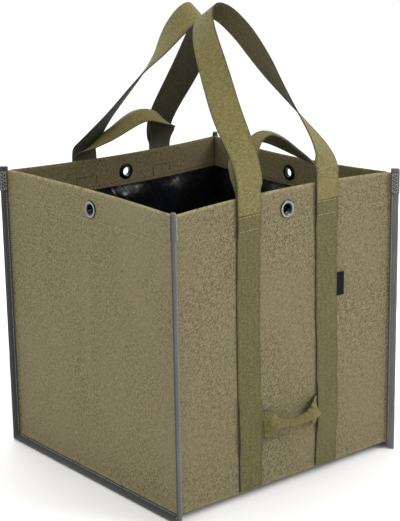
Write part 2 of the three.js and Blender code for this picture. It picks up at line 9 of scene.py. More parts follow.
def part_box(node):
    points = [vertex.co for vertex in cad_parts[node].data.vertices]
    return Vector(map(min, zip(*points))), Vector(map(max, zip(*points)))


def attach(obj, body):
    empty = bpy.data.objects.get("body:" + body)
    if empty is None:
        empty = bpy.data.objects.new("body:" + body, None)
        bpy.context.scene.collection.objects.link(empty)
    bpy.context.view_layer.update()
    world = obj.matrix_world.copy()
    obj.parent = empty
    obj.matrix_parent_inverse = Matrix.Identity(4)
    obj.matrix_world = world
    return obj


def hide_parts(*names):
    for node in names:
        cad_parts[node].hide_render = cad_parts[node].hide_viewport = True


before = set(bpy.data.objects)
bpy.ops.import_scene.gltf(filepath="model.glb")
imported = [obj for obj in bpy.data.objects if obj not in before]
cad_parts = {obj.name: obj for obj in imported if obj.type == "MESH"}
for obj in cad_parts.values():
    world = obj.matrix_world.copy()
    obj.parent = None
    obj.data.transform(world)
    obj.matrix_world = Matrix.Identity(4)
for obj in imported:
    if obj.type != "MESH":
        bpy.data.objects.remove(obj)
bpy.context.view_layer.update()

bl_info = {
    "name": "Canvas Log Carrier",
    "version": (1, 0, 0),
    "blender": (4, 5, 0),
    "location": "View3D > Sidebar > Carrier",
    "description": "A square canvas firewood bag with webbing handles, dressed over its solids",
    "category": "Add Mesh",
}

# Sizes of the bag, in metres, as in the solids. Its own frame has the walls' bottom fold at 0.
WIDTH = 0.380
HALF = WIDTH / 2
HEIGHT = 0.400
CANVAS = 0.0014
HEM = 0.044
HEM_LINE = HEIGHT - HEM
HEM_SEAM = HEM_LINE + 0.003
LINING = 0.001
LINING_SLACK = 0.0035
# The height where the hem starts to hold the lining, and the heights where its gathers grow
LINING_HELD = 0.33
LINING_GATHERS = (0.24, 0.32)
CLEARANCE = 0.0003
BASE_SAG = 0.008
# A wall's face ends this far from its corners, where it bends out into its seam flanges
RETURN = 0.006
FLANGE = 0.012
SQRT2 = math.sqrt(2)
# Half the way from the middle of one layer of canvas to the next
FOLD = (CANVAS + CLEARANCE) / 2
FLANGE_TIP = (FLANGE - FOLD) / SQRT2
FLANGE_DEPTH = -(FLANGE + FOLD) / SQRT2
# Depth of the facing, the hem's layer inside
FACING_DEPTH = CANVAS / 2 + 2 * FOLD
# Height of the line along the rim marked pale: wear, and a painted highlight
RIM_WEAR_AND_HIGHLIGHT = 0.0045
# Shares of the height where a wall starts to lean in and to rise in its middle
BOW_START = 0.45
ARCH_START = 0.8

TAPE = 0.001
TAPE_SETBACK = 0.002
TAPE_SWELL = 1.03
TAPE_END = FLANGE + CLEARANCE + TAPE
# Half the thickness of a seam that the tape goes round
SLOT_HALF = CANVAS + 1.5 * CLEARANCE
# The tape turns from a corner seam to the bottom one over this length, and runs as far under a cap
TAPE_TURN = 0.004
TAPE_STEP = 0.007
CAP_HEIGHT = 0.030
CAP = 0.0018
CAP_RISE = 0.0048
CAP_SWELL = 1.11

WEBBING_WIDTH = 0.040
WEBBING = 0.0018
WEBBING_GAP = 0.0005
STRAP_OFFSET = 0.069
STRAP_DEPTH = -(WEBBING_GAP + WEBBING / 2)
# From one layer of webbing to the next over it
LAYER = WEBBING + CLEARANCE
# Where the straps end and the long handles start
STITCH_LINE = 0.378
BUTT_GAP = 0.0002
HANDLE_RISE = 0.247
LEAN_START = 0.15
SHORT_FOOT = 0.357
SHORT_RISE = 0.116
SHORT_REACH = 0.052
TIP_HEIGHT = 0.088
TIP_BOW = 0.030
TIP_TUCK = 0.016

EYELET_DROP = 0.026
EYELET_RADIUS = 0.0124
EYELET_BORE = 0.0062
WASHER_RADIUS = 0.0122
# The canvas is left out within this radius, under the eyelet's rim
EYELET_HOLE = 0.0087

LABEL = 0.001
LABEL_HEIGHT = 0.033
LABEL_WIDTH = 0.0125
LABEL_LEVEL = 0.258

# How far seams end from an edge: on the webbing, in the line at a handle's foot, at the corners
SEAM_INSET = 0.003
FOOT_INSET = 0.002
CORNER_INSET = 0.010
# The foot's line lies this far below the straps' ends, and the box starts this far up the hem
FOOT_DROP = 0.0018
BOX_RISE = 0.004
# How far a seam lies in from the tape's edge, and the bars of a cap from its edges
TAPE_INSET = 0.0022
BAR_INSET = 0.002
BAR_STEP = 0.0026

# The meshes' steps: over the walls, along the hem and the eyelets, and under the base
STEP = 0.006
FINE_STEP = 0.0028
FINE_ZONE = 0.0196
BASE_STEP = 0.008

X, Y, Z = Vector((1, 0, 0)), Vector((0, 1, 0)), Vector((0, 0, 1))

# Where the bag's own frame stands in the part
PLACE = Vector((
    0,
    (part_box("binding_left")[0].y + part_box("binding_left")[1].y) / 2,
    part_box("side_panel_left")[1].z - HEIGHT,
))

# The walls: bow is how far the rim's middle leans in and arch how far it rises, as shares of the
# bag's width and height; crease is the depth of the fold down a wall's middle.
Wall = namedtuple("Wall", "outward along bow arch crease seed")
WALLS = {
    "front": Wall(-Y, X, 0.005, 0.015, 0.0, 3.1),
    "back": Wall(Y, X, 0.052, 0.0, 0.0, 11.7),
    "left": Wall(-X, Y, 0.021, 0.0, 0.0011, 23.3),
    "right": Wall(X, Y, 0.032, -0.007, 0.0008, 37.9),
}
# How far the long handles' tops stand from the bag's middle
APEXES = {"front": -0.235 * HALF, "back": 0.045 * HALF}

# Long handles from left foot to right foot: x in strap offsets, rise in handle rises, and the
# turn of the webbing's width from level in degrees
LONG_PATHS = {
    "front": (
        (-1.0, 0.0, 0), (-1.0, 0.06, 0), (-1.0, 0.15, 0), (-0.9, 0.2, 3), (-0.82, 0.29, 12),
        (-0.81, 0.39, 24), (-0.79, 0.5, 36), (-0.72, 0.61, 47), (-0.64, 0.73, 57),
        (-0.57, 0.83, 67), (-0.49, 0.9, 76), (-0.35, 0.965, 84), (-0.1, 1.0, 90),
        (0.17, 0.97, 92), (0.34, 0.91, 92), (0.46, 0.85, 93), (0.56, 0.77, 96),
        (0.66, 0.68, 104), (0.75, 0.59, 118), (0.87, 0.49, 132), (1.0, 0.385, 145),
        (1.1, 0.3, 158), (1.12, 0.22, 170), (1.05, 0.18, 178), (1.0, 0.15, 180),
        (1.0, 0.06, 180), (1.0, 0.0, 180),
    ),
    "back": (
        (-1.0, 0.0, 0), (-1.0, 0.06, 0), (-1.0, 0.15, 0), (-0.96, 0.2, 6), (-0.86, 0.3, 20),
        (-0.74, 0.39, 27), (-0.62, 0.48, 30), (-0.48, 0.59, 33), (-0.36, 0.69, 42),
        (-0.28, 0.79, 68), (-0.19, 0.88, 84), (-0.06, 0.955, 90), (0.12, 0.985, 90),
        (0.33, 0.96, 92), (0.48, 0.9, 97), (0.6, 0.81, 108), (0.68, 0.7, 124),
        (0.71, 0.59, 138), (0.7, 0.48, 148), (0.7, 0.37, 155), (0.75, 0.28, 162),
        (0.87, 0.21, 173), (1.0, 0.15, 180), (1.0, 0.06, 180), (1.0, 0.0, 180),
    ),
}
# How deep the painted shade on the long handles' inner sides is
LONG_PAINTED_SHADES = {"front": 0.6, "back": 1.0}
# Half a short handle, foot to middle: x, rise, reach, turn and fold. One leg turns over just above
# the rim and the other higher up.
SHORT_LATE = (
    (1.0, 0.0, 0.0, 0, 0), (1.0, 0.22, 0.0, 0, 0), (1.0, 0.41, 0.0, 0, 0),
    (0.98, 0.51, 0.12, 0, 0), (0.92, 0.58, 0.27, 2, 4), (0.81, 0.67, 0.45, 9, 10),
    (0.69, 0.76, 0.66, 30, 20), (0.52, 0.87, 0.84, 60, 32), (0.28, 0.96, 0.96, 82, 38),
    (0.0, 1.0, 1.0, 90, 38),
)
SHORT_EARLY = (
    (1.0, 0.0, 0.0, 0, 0), (1.0, 0.22, 0.0, 0, 0), (1.0, 0.41, 0.0, 0, 0),
    (0.98, 0.51, 0.13, 22, 0), (0.92, 0.58, 0.28, 42, 4), (0.81, 0.67, 0.46, 52, 10),
    (0.69, 0.76, 0.66, 60, 20), (0.52, 0.87, 0.84, 74, 32), (0.28, 0.96, 0.96, 84, 38),
    (0.0, 1.0, 1.0, 90, 38),
)
SHORT_LEGS = {"front": (SHORT_LATE, SHORT_EARLY), "back": (SHORT_EARLY, SHORT_LATE)}
# Half the tip handle, strap to middle: x in half gaps between the straps, bow outwards and fold
TIP_PATH = (
    (0.97, 0.0, 0), (0.93, 0.08, 4), (0.9, 0.24, 18), (0.86, 0.48, 40), (0.76, 0.7, 62),
    (0.53, 0.86, 75), (0.27, 0.96, 80), (0.0, 1.0, 82),
)

# The camera, set from the photograph, and how far the floor reaches
CAMERA_AZIMUTH = math.radians(-38.83)
CAMERA_ELEVATION = math.radians(15.30)
CAMERA_ROLL = math.radians(-0.96)
CAMERA_DISTANCE = 2.144
CAMERA_TARGET = Vector((0.0131, 0.0121, 0.2646))
CAMERA_LENS = 102.96
FLOOR_REACH = 40.0


def clamp(value, low=0.0, high=1.0):
    return max(low, min(high, value))


def smooth(value, low, high):
    t = clamp((value - low) / (high - low))
    return t * t * (3 - 2 * t)


def lerp(a, b, t):
    return a + (b - a) * t


def spread(low, high, step):
    """Even places from low to high, about a step apart"""
    count = max(1, round(abs(high - low) / step))
    return [lerp(low, high, i / count) for i in range(count + 1)]


def linear(red, green, blue):
    """A screen colour as the shader's linear one"""
    return tuple(
        c / 12.92 if c <= 0.04045 else ((c + 0.055) / 1.055) ** 2.4 for c in (red, green, blue)
    )


# Shapes of the cloth


def rim_share(height, start):
    """How much of a rim's bow or arch shows at a height: the stiff hem stands straight"""
    low = start * HEIGHT
    if height < HEM_LINE:
        return smooth(height, low, HEIGHT)
    at_hem = smooth(HEM_LINE, low, HEIGHT)
    return at_hem + (1 - at_hem) * clamp((height - HEM_LINE) / HEM)


def relief(wall, across, height):
    """Soft buckles of the stiff cloth, none at its seams and few in its hem"""
    cloth = bpy.context.scene.carrier_cloth
    side = clamp(abs(across) / (HALF - RETURN))
    fade = (1 - side**4) * smooth(height, 0.0, 0.05) * (1 - 0.8 * smooth(height, 0.29, HEM_LINE))
    broad = noise.noise(Vector((across * 7, height * 5, wall.seed)))
    slant = Vector(((across + 0.7 * height) * 17, (height - 0.7 * across) * 5, wall.seed + 50))
    ridge = max(0.0, 1 - 5 * abs(noise.noise(slant))) ** 2
    fold = math.exp(-((across / 0.007) ** 2)) - 0.6 * math.exp(-(((across - 0.014) / 0.01) ** 2))
    return fade * (cloth.buckle * broad + cloth.wrinkle * ridge + wall.crease * fold)


def wall_point(wall, across, height, depth):
    """A point of a wall: across and height run along its face, depth in from its outer face"""
    side = clamp(across / (HALF - RETURN), -1, 1)
    middle = 1 - side * side
    bow = wall.bow * WIDTH * middle * rim_share(height, BOW_START)
    arch = wall.arch * HEIGHT * middle * rim_share(height, ARCH_START)
    out = HALF - depth - bow + relief(wall, across, height)
    return wall.outward * out + wall.along * across + Z * (height + arch)


def wall_frame(wall, across, height):
    """The place, outward normal, along and up directions of a wall's outer face"""
    step = 0.003
    at = wall_point(wall, across, height, 0)
    ends = [wall_point(wall, across + side * step, height, 0) for side in (-1, 1)]
    rows = [wall_point(wall, across, height + side * step, 0) for side in (-1, 1)]
    along = (ends[1] - ends[0]).normalized()
    up = (rows[1] - rows[0]).normalized()
    normal = along.cross(up).normalized()
    if normal.dot(wall.outward) < 0:
        normal.negate()
    return at, normal, along, up


def base_point(x, y, depth):
    """A point of the base, which sags in its middle: depth runs up from its underside"""
    side_x = clamp(x / (HALF - RETURN), -1, 1)
    side_y = clamp(y / (HALF - RETURN), -1, 1)
    sag = BASE_SAG * (1 - side_x**2) * (1 - side_y**2)
    ripple = 0.0012 * noise.noise(Vector((x * 14, y * 14, 71))) * (1 - side_x**4) * (1 - side_y**4)
    return Vector((x, y, depth - sag - ripple))


def seam_offsets(out, over):
    """A seam point's offsets beyond the side face and beyond the front face"""
    return (out + over) / SQRT2, (out - over) / SQRT2


def shown(name, data):
    """A new object in the scene"""
    thing = bpy.data.objects.new(name, data)
    bpy.context.scene.collection.objects.link(thing)
    return thing


class Cloth:
    """Grids of points sewn into one mesh, with the flat pattern as its UV map, in metres, and a
    value at each point for wear, and for painted highlight and painted shade, as at edges"""

    def __init__(self):
        self.points, self.flat, self.marks, self.faces = [], [], [], []

    def take(self, corners):
        """Takes in corners of (point, (u, v), mark)"""
        for point, flat, mark in corners:
            self.points.append(point)
            self.flat.append(flat)
            self.marks.append(mark)

    def grid(self, rows, turned=False):
        """A sheet through rows of corners"""
        start, wide = len(self.points), len(rows[0])
        for row in rows:
            self.take(row)
        for j in range(len(rows) - 1):
            for i in range(wide - 1):
                a = start + j * wide + i
                face = (a, a + 1, a + wide + 1, a + wide)
                self.faces.append(face[::-1] if turned else face)

    def lid(self, corners, turned=False):
        """A flat face over a ring of corners"""
        start = len(self.points)
        self.take(corners)
        face = tuple(range(start, start + len(corners)))
        self.faces.append(face[::-1] if turned else face)

    def tube(self, rows, turned=False):
        """A sheet through rows of closed corners, with a lid at each end"""
        self.grid(rows, turned)
        self.lid(rows[0][:-1], not turned)
        self.lid(rows[-1][:-1], turned)

    def pierce(self, centre, normal, radius, reach=0.02):
        """Leaves out the faces round a hole, up to a reach along it"""
        kept = []
        for face in self.faces:
            middle = sum((self.points[i] for i in face), Vector()) / len(face) - centre
            beside = middle - normal * middle.dot(normal)
            if beside.length > radius or abs(middle.dot(normal)) > reach:
                kept.append(face)
        self.faces = kept

    def piece(self, name, slot, nodes, material, thickness=0.0, sharp=40):
        """The finished object in the part's place, which stands for its nodes"""
        mesh = bpy.data.meshes.new(name)
        mesh.from_pydata([tuple(point + PLACE) for point in self.points], [], self.faces)
        pattern = mesh.uv_layers.new(name="pattern")
        for loop in mesh.loops:
            pattern.data[loop.index].uv = self.flat[loop.vertex_index]
        marks = mesh.attributes.new("mark", "FLOAT", "POINT")
        marks.data.foreach_set("value", self.marks)
        mesh.materials.append(material)
        piece = shown(name, mesh)
        weld = piece.modifiers.new("sewn", "WELD")
        weld.merge_threshold = 0.00002
        if thickness:
            wall = piece.modifiers.new("wall", "SOLIDIFY")
            wall.thickness = thickness
            wall.offset = 0
            wall.use_even_offset = True
            wall.thickness_clamp = 1.0
        finished = bpy.data.meshes.new_from_object(
            piece.evaluated_get(bpy.context.evaluated_depsgraph_get())
        )
        piece.modifiers.clear()
        piece.data = finished
        finished.shade_smooth()
        finished.set_sharp_from_angle(angle=math.radians(sharp))
        if nodes:
            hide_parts(*nodes)
        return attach(piece, "root")


def panel_columns():
    """Columns across a canvas panel: its seam flanges, the bends and the face between"""
    bend = HALF - CANVAS / 2 - SQRT2 * FOLD
    face = (
        spread(-(HALF - RETURN), -FINE_ZONE, STEP)[:-1]
        + spread(-FINE_ZONE, FINE_ZONE, FINE_STEP)
        + spread(FINE_ZONE, HALF - RETURN, STEP)[1:]
    )
    flange = [
        (HALF + FLANGE_TIP, FLANGE_DEPTH), (HALF + 0.45 * FLANGE_TIP, 0.45 * FLANGE_DEPTH),
        (bend, CANVAS / 2),
    ]
    return (
        [(-across, depth) for across, depth in flange]
        + [(across, CANVAS / 2) for across in face]
        + flange[::-1]
    )


def facing_lip(height):
    """How far the facing's lower edge stands off over the lining"""
    return 0.0011 * smooth(height, HEM_LINE + 0.012, HEM_LINE - 0.002)


def wall_sheets(cloth, wall, low_rows, turned):
    """A wall's canvas: its face up to the rim, the fold and the facing inside"""
    heights = spread(STEP, HEM_LINE, STEP)[:-1] + spread(HEM_LINE, HEIGHT - FOLD, FINE_STEP)
    columns = panel_columns()
    rows = list(low_rows)
    for height in heights:
        # The rim's top is marked pale: wear, and a painted highlight along the rim
        wear_and_painted_light = smooth(height, HEIGHT - RIM_WEAR_AND_HIGHLIGHT, HEIGHT - FOLD)
        rows.append([
            (wall_point(wall, across, height, depth), (across, height), wear_and_painted_light)
            for across, depth in columns
        ])
    cloth.grid(rows, turned)
    end = HALF - 0.003
    face = [across for across, depth in columns if abs(across) <= HALF - RETURN]
    facing = []
    # Round the fold over the rim and down the facing: the fold's outer half marked pale for wear
    # and a painted highlight, its inner half and the facing below marked for painted shade
    for i in range(7):
        angle = math.pi * i / 6
        facing.append((
            HEIGHT - FOLD + FOLD * math.sin(angle),
            CANVAS / 2 + FOLD * (1 - math.cos(angle)),
            HEIGHT - FOLD + FOLD * angle,
            1.0 if i < 4 else -0.5,
        ))
    for height in spread(HEIGHT - FOLD, HEM_LINE - 0.002, FINE_STEP)[1:]:
        facing.append((height, FACING_DEPTH + facing_lip(height), 2 * HEIGHT - height, -1.0))
    rows = []
    for height, depth, along, wear_and_painted_light in facing:
        row = []
        for across in [-end, *face, end]:
            pucker = 0.0003 * noise.noise(Vector((across * 90, height * 30, wall.seed)))
            # Painted shade deepens to a dark line in the facing's corners
            corner = smooth(abs(across), HALF - RETURN - 0.001, end) if wear_and_painted_light < 0 else 0
            point = wall_point(wall, across, height, depth + pucker)
            row.append((point, (across, along), wear_and_painted_light - corner))
        rows.append(row)
    cloth.grid(rows, turned)
    at, normal, _, _ = wall_frame(wall, 0, HEIGHT - EYELET_DROP)
    cloth.pierce(at, normal, EYELET_HOLE)


def make_wrap(material):
    """Front wall, base and back wall in one length of canvas"""
    cloth = Cloth()
    columns = panel_columns()
    for name, turned in (("front", False), ("back", True)):
        wall = WALLS[name]
        low = [(wall_point(wall, across, d, d), (across, 0.0), 0.35) for across, d in columns]
        wall_sheets(cloth, wall, [low], turned)

    def base_row(y_at, mark):
        """A row across the base, at the y that each depth has"""
        return [
            (base_point(across, y_at(depth), depth), (across, y_at(0) - HALF), mark)
            for across, depth in columns
        ]

    ys = spread(RETURN - HALF, HALF - RETURN, BASE_STEP)
    rows = [base_row(lambda depth, y=y: y, 0.0) for y in ys]
    rows.insert(0, base_row(lambda depth: depth - HALF, 0.3))
    rows.append(base_row(lambda depth: HALF - depth, 0.3))
    cloth.grid(rows, True)
    return cloth.piece("canvas_wrap", "canvas", ["wrap_panel"], material, CANVAS)


def make_side(name, material):
    """A side panel with its flanges down the corners and along the bottom"""
    wall = WALLS[name]
    columns = panel_columns()
    tip, bend = -FLANGE_TIP, CANVAS / 2 + SQRT2 * FOLD
    low = [
        [(wall_point(wall, a, tip, FLANGE_DEPTH), (a, tip), 0.0) for a, _ in columns],
        [(wall_point(wall, a, bend, depth), (a, bend), 0.35) for a, depth in columns],
    ]
    cloth = Cloth()
    wall_sheets(cloth, wall, low, name == "left")
    return cloth.piece(f"canvas_{name}", "canvas", [f"side_panel_{name}"], material, CANVAS)


def make_lining(material):
    """The slack dark lining, an open box that ends behind the facing"""
    depth = CANVAS + CLEARANCE + LINING / 2
    cloth = Cloth()
    heights = spread(depth, HEM_SEAM, STEP)
    across_all = spread(-(HALF - depth), HALF - depth, STEP)
    for name, wall in WALLS.items():
        rows = []
        for height in heights:
            row = []
            for across in across_all:
                side = clamp(abs(across) / (HALF - depth))
                room = (1 - side**6) * smooth(height, 0.0, 0.04)
                room *= smooth(height, HEM_LINE, LINING_HELD)
                upright = noise.noise(Vector((across * 22, height * 4, wall.seed + 7)))
                slant = noise.noise(Vector(((across + height) * 9, height * 11, wall.seed)))
                slack = max(0.0, 0.5 + upright + 0.6 * slant)
                slack *= 1 + 1.6 * smooth(height, *LINING_GATHERS)
                inward = depth + room * LINING_SLACK * slack
                row.append((wall_point(wall, across, height, inward), (across, height), 0.0))
            rows.append(row)
        cloth.grid(rows, name in ("back", "left"))
    rows = [
        [(base_point(x, y, depth) + Z * 0.0004, (x, y), 0.0) for x in across_all]
        for y in across_all
    ]
    cloth.grid(rows, True)
    return cloth.piece("lining_box", "lining", ["lining"], material, LINING, sharp=70)


# Tape round the seams


def tape_outside(half, end):
    """Round the outside of the tape from one of its edges to the other: out and over"""
    flat = [
        (lerp(TAPE_SETBACK, end, share), half * swell)
        for share, swell in ((0, 1), (0.16, 1), (0.4, TAPE_SWELL))
    ]
    bend = 0.45 * half
    angles = [math.radians(-90 + 180 * i / 8) for i in range(9)]
    nose = [(end - bend + bend * math.cos(a), half * math.sin(a)) for a in angles]
    return [(out, -over) for out, over in flat] + nose + flat[::-1]


def section_row(section, place, along):
    """A row of points round a section, with the way round it as u, marked for painted shade at its
    edges and on its side panel's side"""
    row, around = [], 0.0
    for i, (out, over) in enumerate(section):
        if i:
            around += math.dist(section[i - 1], (out, over))
        edge = 1 - (out - TAPE_SETBACK) / (TAPE_END - TAPE_SETBACK)
        # Painted shade at the tape's edges, deeper on its side panel's side
        dark = clamp(0.62 + edge) if over > 0 else clamp(edge) ** 6
        row.append((place(out, over), (around, along), dark))
    return row


def corner_place(side, end, out, over, height):
    """A place beside a corner seam: out along the flange, over to its front or side"""
    beyond_side, beyond_face = seam_offsets(out, over)
    return Vector((side * (HALF + beyond_side), end * (HALF + beyond_face), height))


def bottom_place(side, out, over, y):
    """A place beside a bottom seam"""
    beyond_side, beyond_face = seam_offsets(out, over)
    return Vector((side * (HALF + beyond_side), y, -beyond_face))


def make_binding(name, material):
    """The tape of one side: down a corner, along the bottom and up the other corner"""
    side = -1 if name == "left" else 1
    outside, inner = tape_outside(SLOT_HALF + TAPE, TAPE_END), TAPE_END - TAPE
    section = outside + [
        (TAPE_SETBACK, SLOT_HALF), (inner, SLOT_HALF), (inner, -SLOT_HALF),
        (TAPE_SETBACK, -SLOT_HALF), outside[0],
    ]
    low, top = TAPE_TURN, HEIGHT - CAP_HEIGHT + TAPE_TURN
    stations = [("front", z) for z in spread(top, low, TAPE_STEP)] + [("corner", -1)]
    stations += [("bottom", y) for y in spread(low - HALF, HALF - low, TAPE_STEP)]
    stations += [("corner", 1)] + [("back", z) for z in spread(low, top, TAPE_STEP)]
    cloth, along, rows = Cloth(), 0.0, []

    for run, value in stations:
        along += TAPE_STEP
        wave = 0.00025 * noise.noise(Vector((along * 45, side * 3, 5)))

        def place(out, over, run=run, value=value, wave=wave):
            out, over = out + wave, over + 0.6 * wave
            if run == "bottom":
                return bottom_place(side, out, over, value)
            if run == "corner":
                return corner_place(side, value, out, over, -seam_offsets(out, over)[1])
            return corner_place(side, -1 if run == "front" else 1, out, over, value)

        rows.append(section_row(section, place, along))
    cloth.grid(rows, side > 0)
    return cloth.piece(f"tape_{name}", "tape", [f"binding_{name}"], material, sharp=55)


def make_cap(name, side, end, material):
    """The tape folded over the top of a corner seam"""
    low, high = HEIGHT - CAP_HEIGHT, HEIGHT + CAP_RISE
    levels = [(low, 1.0), (low + 0.0012, 1.04)]
    levels += [(z, 1.02) for z in spread(low + 0.004, high - 0.005, 0.003)]
    levels += [(high - 0.0022, 0.98), (high - 0.0008, 0.86), (high, 0.6)]
    cloth, rows = Cloth(), []
    for height, fullness in levels:
        swell = fullness + 0.05 * noise.noise(Vector((height * 160, side * 9, end * 7)))
        nose = FLANGE + CLEARANCE + CAP - (1 - fullness) * 0.004
        outside = tape_outside((SLOT_HALF + CAP) * swell, nose)
        rows.append(section_row(
            outside + outside[:1],
            lambda out, over, z=height: corner_place(side, end, out, over, z), height,
        ))
    cloth.tube(rows, side * end < 0)
    return cloth.piece(f"cap_{name}", "tape", [f"corner_cap_{name}"], material, sharp=55)


# Webbing


def band_section(width, thickness, columns=10):
    """Round a flat band with soft edges: place across, place out, mark of painted shade on the edge
    """
    round_off = thickness / 2
    flat = width / 2 - round_off
    top = [
        (lerp(-flat, flat, i / columns), round_off, 0.3 if i in (0, columns) else 0.0)
        for i in range(columns + 1)
    ]
    edge = [
        (flat + round_off * math.cos(a), round_off * math.sin(a), 1.0)
        for a in (math.radians(50), 0.0, math.radians(-50))
    ]
    bottom = [(-u, -w, m) for u, w, m in top]
    other = [(-u, -w, m) for u, w, m in edge]
    return top + edge + bottom + other + top[:1]


BAND = band_section(WEBBING_WIDTH, WEBBING)


def band_row(centre, across, facing, fold, along, inner):
    """A row round the webbing, its two halves folded back from its middle. Its inner side is marked
    below zero, as deep as inner, for painted shade: the one that facing leaves when inner is above
    zero, else the other."""
    turn = math.radians(fold)
    soft = 0.0025
    row = []
    for u, w, mark in BAND:
        bent = math.sqrt(u * u + soft * soft) - soft
        lean = math.copysign(1, u) * math.sin(turn) * clamp(abs(u) / (4 * soft))
        at = centre + across * (u * math.cos(turn) + w * lean)
        at += facing * (w * math.cos(turn) - bent * math.sin(turn))
        # The inner side gets painted shade, as deep as inner
        if mark < 1 and w * inner < 0:
            mark = -abs(inner)
        row.append((at, (u if w >= 0 else u + 0.1, along), mark))
    return row


def band(sections, name, nodes, material, inner=1):
    """A length of webbing through (centre, across, facing, fold) sections"""
    cloth, along, rows = Cloth(), 0.0, []
    for i, (centre, across, facing, fold) in enumerate(sections):
        if i:
            along += (centre - sections[i - 1][0]).length
        rows.append(band_row(centre, across, facing, fold, along, inner))
    cloth.tube(rows)
    return cloth.piece(name, "webbing", nodes, material, sharp=60)


def lift_at(height, low, high):
    """How far a strap has risen over another layer between two heights"""
    ramp = 0.014
    return min(smooth(height, low - ramp, low), 1 - smooth(height, high, high + ramp))


def strap_height(wall_name, height):
    """The depth of a strap's middle at a height of a wall"""
    lift = lift_at(height, SHORT_FOOT, HEIGHT)
    if wall_name == "front":
        tip = 0.7 * WEBBING_WIDTH
        lift = max(lift, lift_at(height, TIP_HEIGHT - tip, TIP_HEIGHT + tip))
    return STRAP_DEPTH - lift * LAYER


def wall_direction(wall, across, height):
    """The direction along a wall, over a third of the webbing's width to either side"""
    reach = 0.012
    ends = [wall_point(wall, across + side * reach, height, 0) for side in (-1, 1)]
    return (ends[1] - ends[0]).normalized()


def strap_sections(x):
    """A strap from the back's top, under the base, to the front's top, with a slight wander"""
    top, bend = STITCH_LINE - BUTT_GAP, 0.003

    def on_wall(name, height):
        wall = WALLS[name]
        across = x + 0.0011 * noise.noise(Vector((height * 9, x * 40, 3)))
        centre = wall_point(wall, across, height, strap_height(name, height))
        return centre, wall_direction(wall, across, height)

    places = [on_wall("back", height) for height in spread(top, bend, 0.005)]
    for y in spread(HALF - RETURN, RETURN - HALF, BASE_STEP):
        places.append((base_point(x, y, STRAP_DEPTH), X))
    places += [on_wall("front", height) for height in spread(bend, top, 0.005)]
    ways = tangents([centre for centre, _ in places])
    return [
        (centre, across, way.cross(across).normalized(), 0)
        for (centre, across), way in zip(places, ways)
    ]


def tangents(centres):
    """The way on at each of a line of places"""
    after, before = centres[1:] + centres[-1:], centres[:1] + centres[:-1]
    return [(b - a).normalized() for a, b in zip(before, after)]


def spline(points, t):
    """A smooth curve through points: t counts them"""
    i = min(int(t), len(points) - 2)
    f = t - i
    p0, p1 = points[max(0, i - 1)], points[i]
    p2, p3 = points[i + 1], points[min(len(points) - 1, i + 2)]
    m1, m2 = (p2 - p0) / 2, (p3 - p1) / 2
    f2, f3 = f * f, f * f * f
    return (
        p1 * (2 * f3 - 3 * f2 + 1) + m1 * (f3 - 2 * f2 + f)
        + p2 * (3 * f2 - 2 * f3) + m2 * (f3 - f2)
    )


def evened(values, passes=8):
    """Values with their kinks taken out, the ends kept"""
    for _ in range(passes):
        inner = [(a + b * 2 + c) / 4 for a, b, c in zip(values, values[1:], values[2:])]
        values = [values[0]] + inner + [values[-1]]
    return values


def along_path(rows, count):
    """Places on the curve through rows of (place, values), and the values between them, with a
    count of steps to a row"""
    places = [place for place, _ in rows]
    for i in range(count * (len(rows) - 1) + 1):
        t = i / count
        before, after = rows[int(t)][1], rows[min(len(rows) - 1, int(t) + 1)][1]
        yield spline(places, t), [lerp(a, b, t - int(t)) for a, b in zip(before, after)]


def handle_sections(wall, path, depth, low, rise, reach):
    """A handle over a wall's rim through rows of x, rise, reach, turn and fold"""
    inward = -wall.outward.y
    foot = wall_point(wall, STRAP_OFFSET, low, depth).z
    rows = [
        (Vector((x * STRAP_OFFSET, up * rise, into * reach)), angles)
        for x, up, into, *angles in path
    ]
    centres, turns = [], []
    for place, angles in along_path(rows, 6):
        height = foot + place.y
        point = wall_point(wall, place.x, height, depth)
        point.z = height
        centres.append(point + Y * inward * max(0.0, place.z))
        turns.append(Vector(angles))
    centres, turns = evened(centres), evened(turns)
    upright = Vector((0, -inward * rise, reach)).normalized()
    sections = []
    for centre, tangent, (turn, fold) in zip(centres, tangents(centres), turns):
        level = wall_direction(wall, centre.x, min(centre.z, HEIGHT))
        across = level * math.cos(math.radians(turn)) + upright * math.sin(math.radians(turn))
        facing = across.cross(tangent).normalized()
        sections.append((centre, tangent.cross(facing), facing, inward * fold))
    return sections


def make_long_handle(name, material):
    """Over the straps' ends, up and in to the bag's middle"""
    wall = WALLS[name]
    depth = STRAP_DEPTH - LAYER
    low = STITCH_LINE + BUTT_GAP
    foot = wall_point(wall, STRAP_OFFSET, low, depth)
    path = [
        (x, rise, max(0.0, rise - LEAN_START) / (1 - LEAN_START), turn, 0)
        for x, rise, turn in LONG_PATHS[name]
    ]
    reach = abs(APEXES[name] - foot.y)
    sections = handle_sections(wall, path, depth, low, HANDLE_RISE, reach)
    inner = -wall.outward.y * LONG_PAINTED_SHADES[name]
    return band(sections, f"long_handle_{name}", [f"handle_{name}"], material, inner)


def make_short_handle(name, material):
    """Between the wall and the long handle, leaning in less"""
    wall = WALLS[name]
    left, right = SHORT_LEGS[name]
    leg = [(-x, *rest) for x, *rest in left]
    other = [(x, rise, reach, 180 - turn, fold) for x, rise, reach, turn, fold in right]
    path = leg + other[-2::-1]
    sections = handle_sections(wall, path, STRAP_DEPTH, SHORT_FOOT, SHORT_RISE, SHORT_REACH)
    inner = -wall.outward.y
    return band(sections, f"short_loop_{name}", [f"short_handle_{name}"], material, inner)


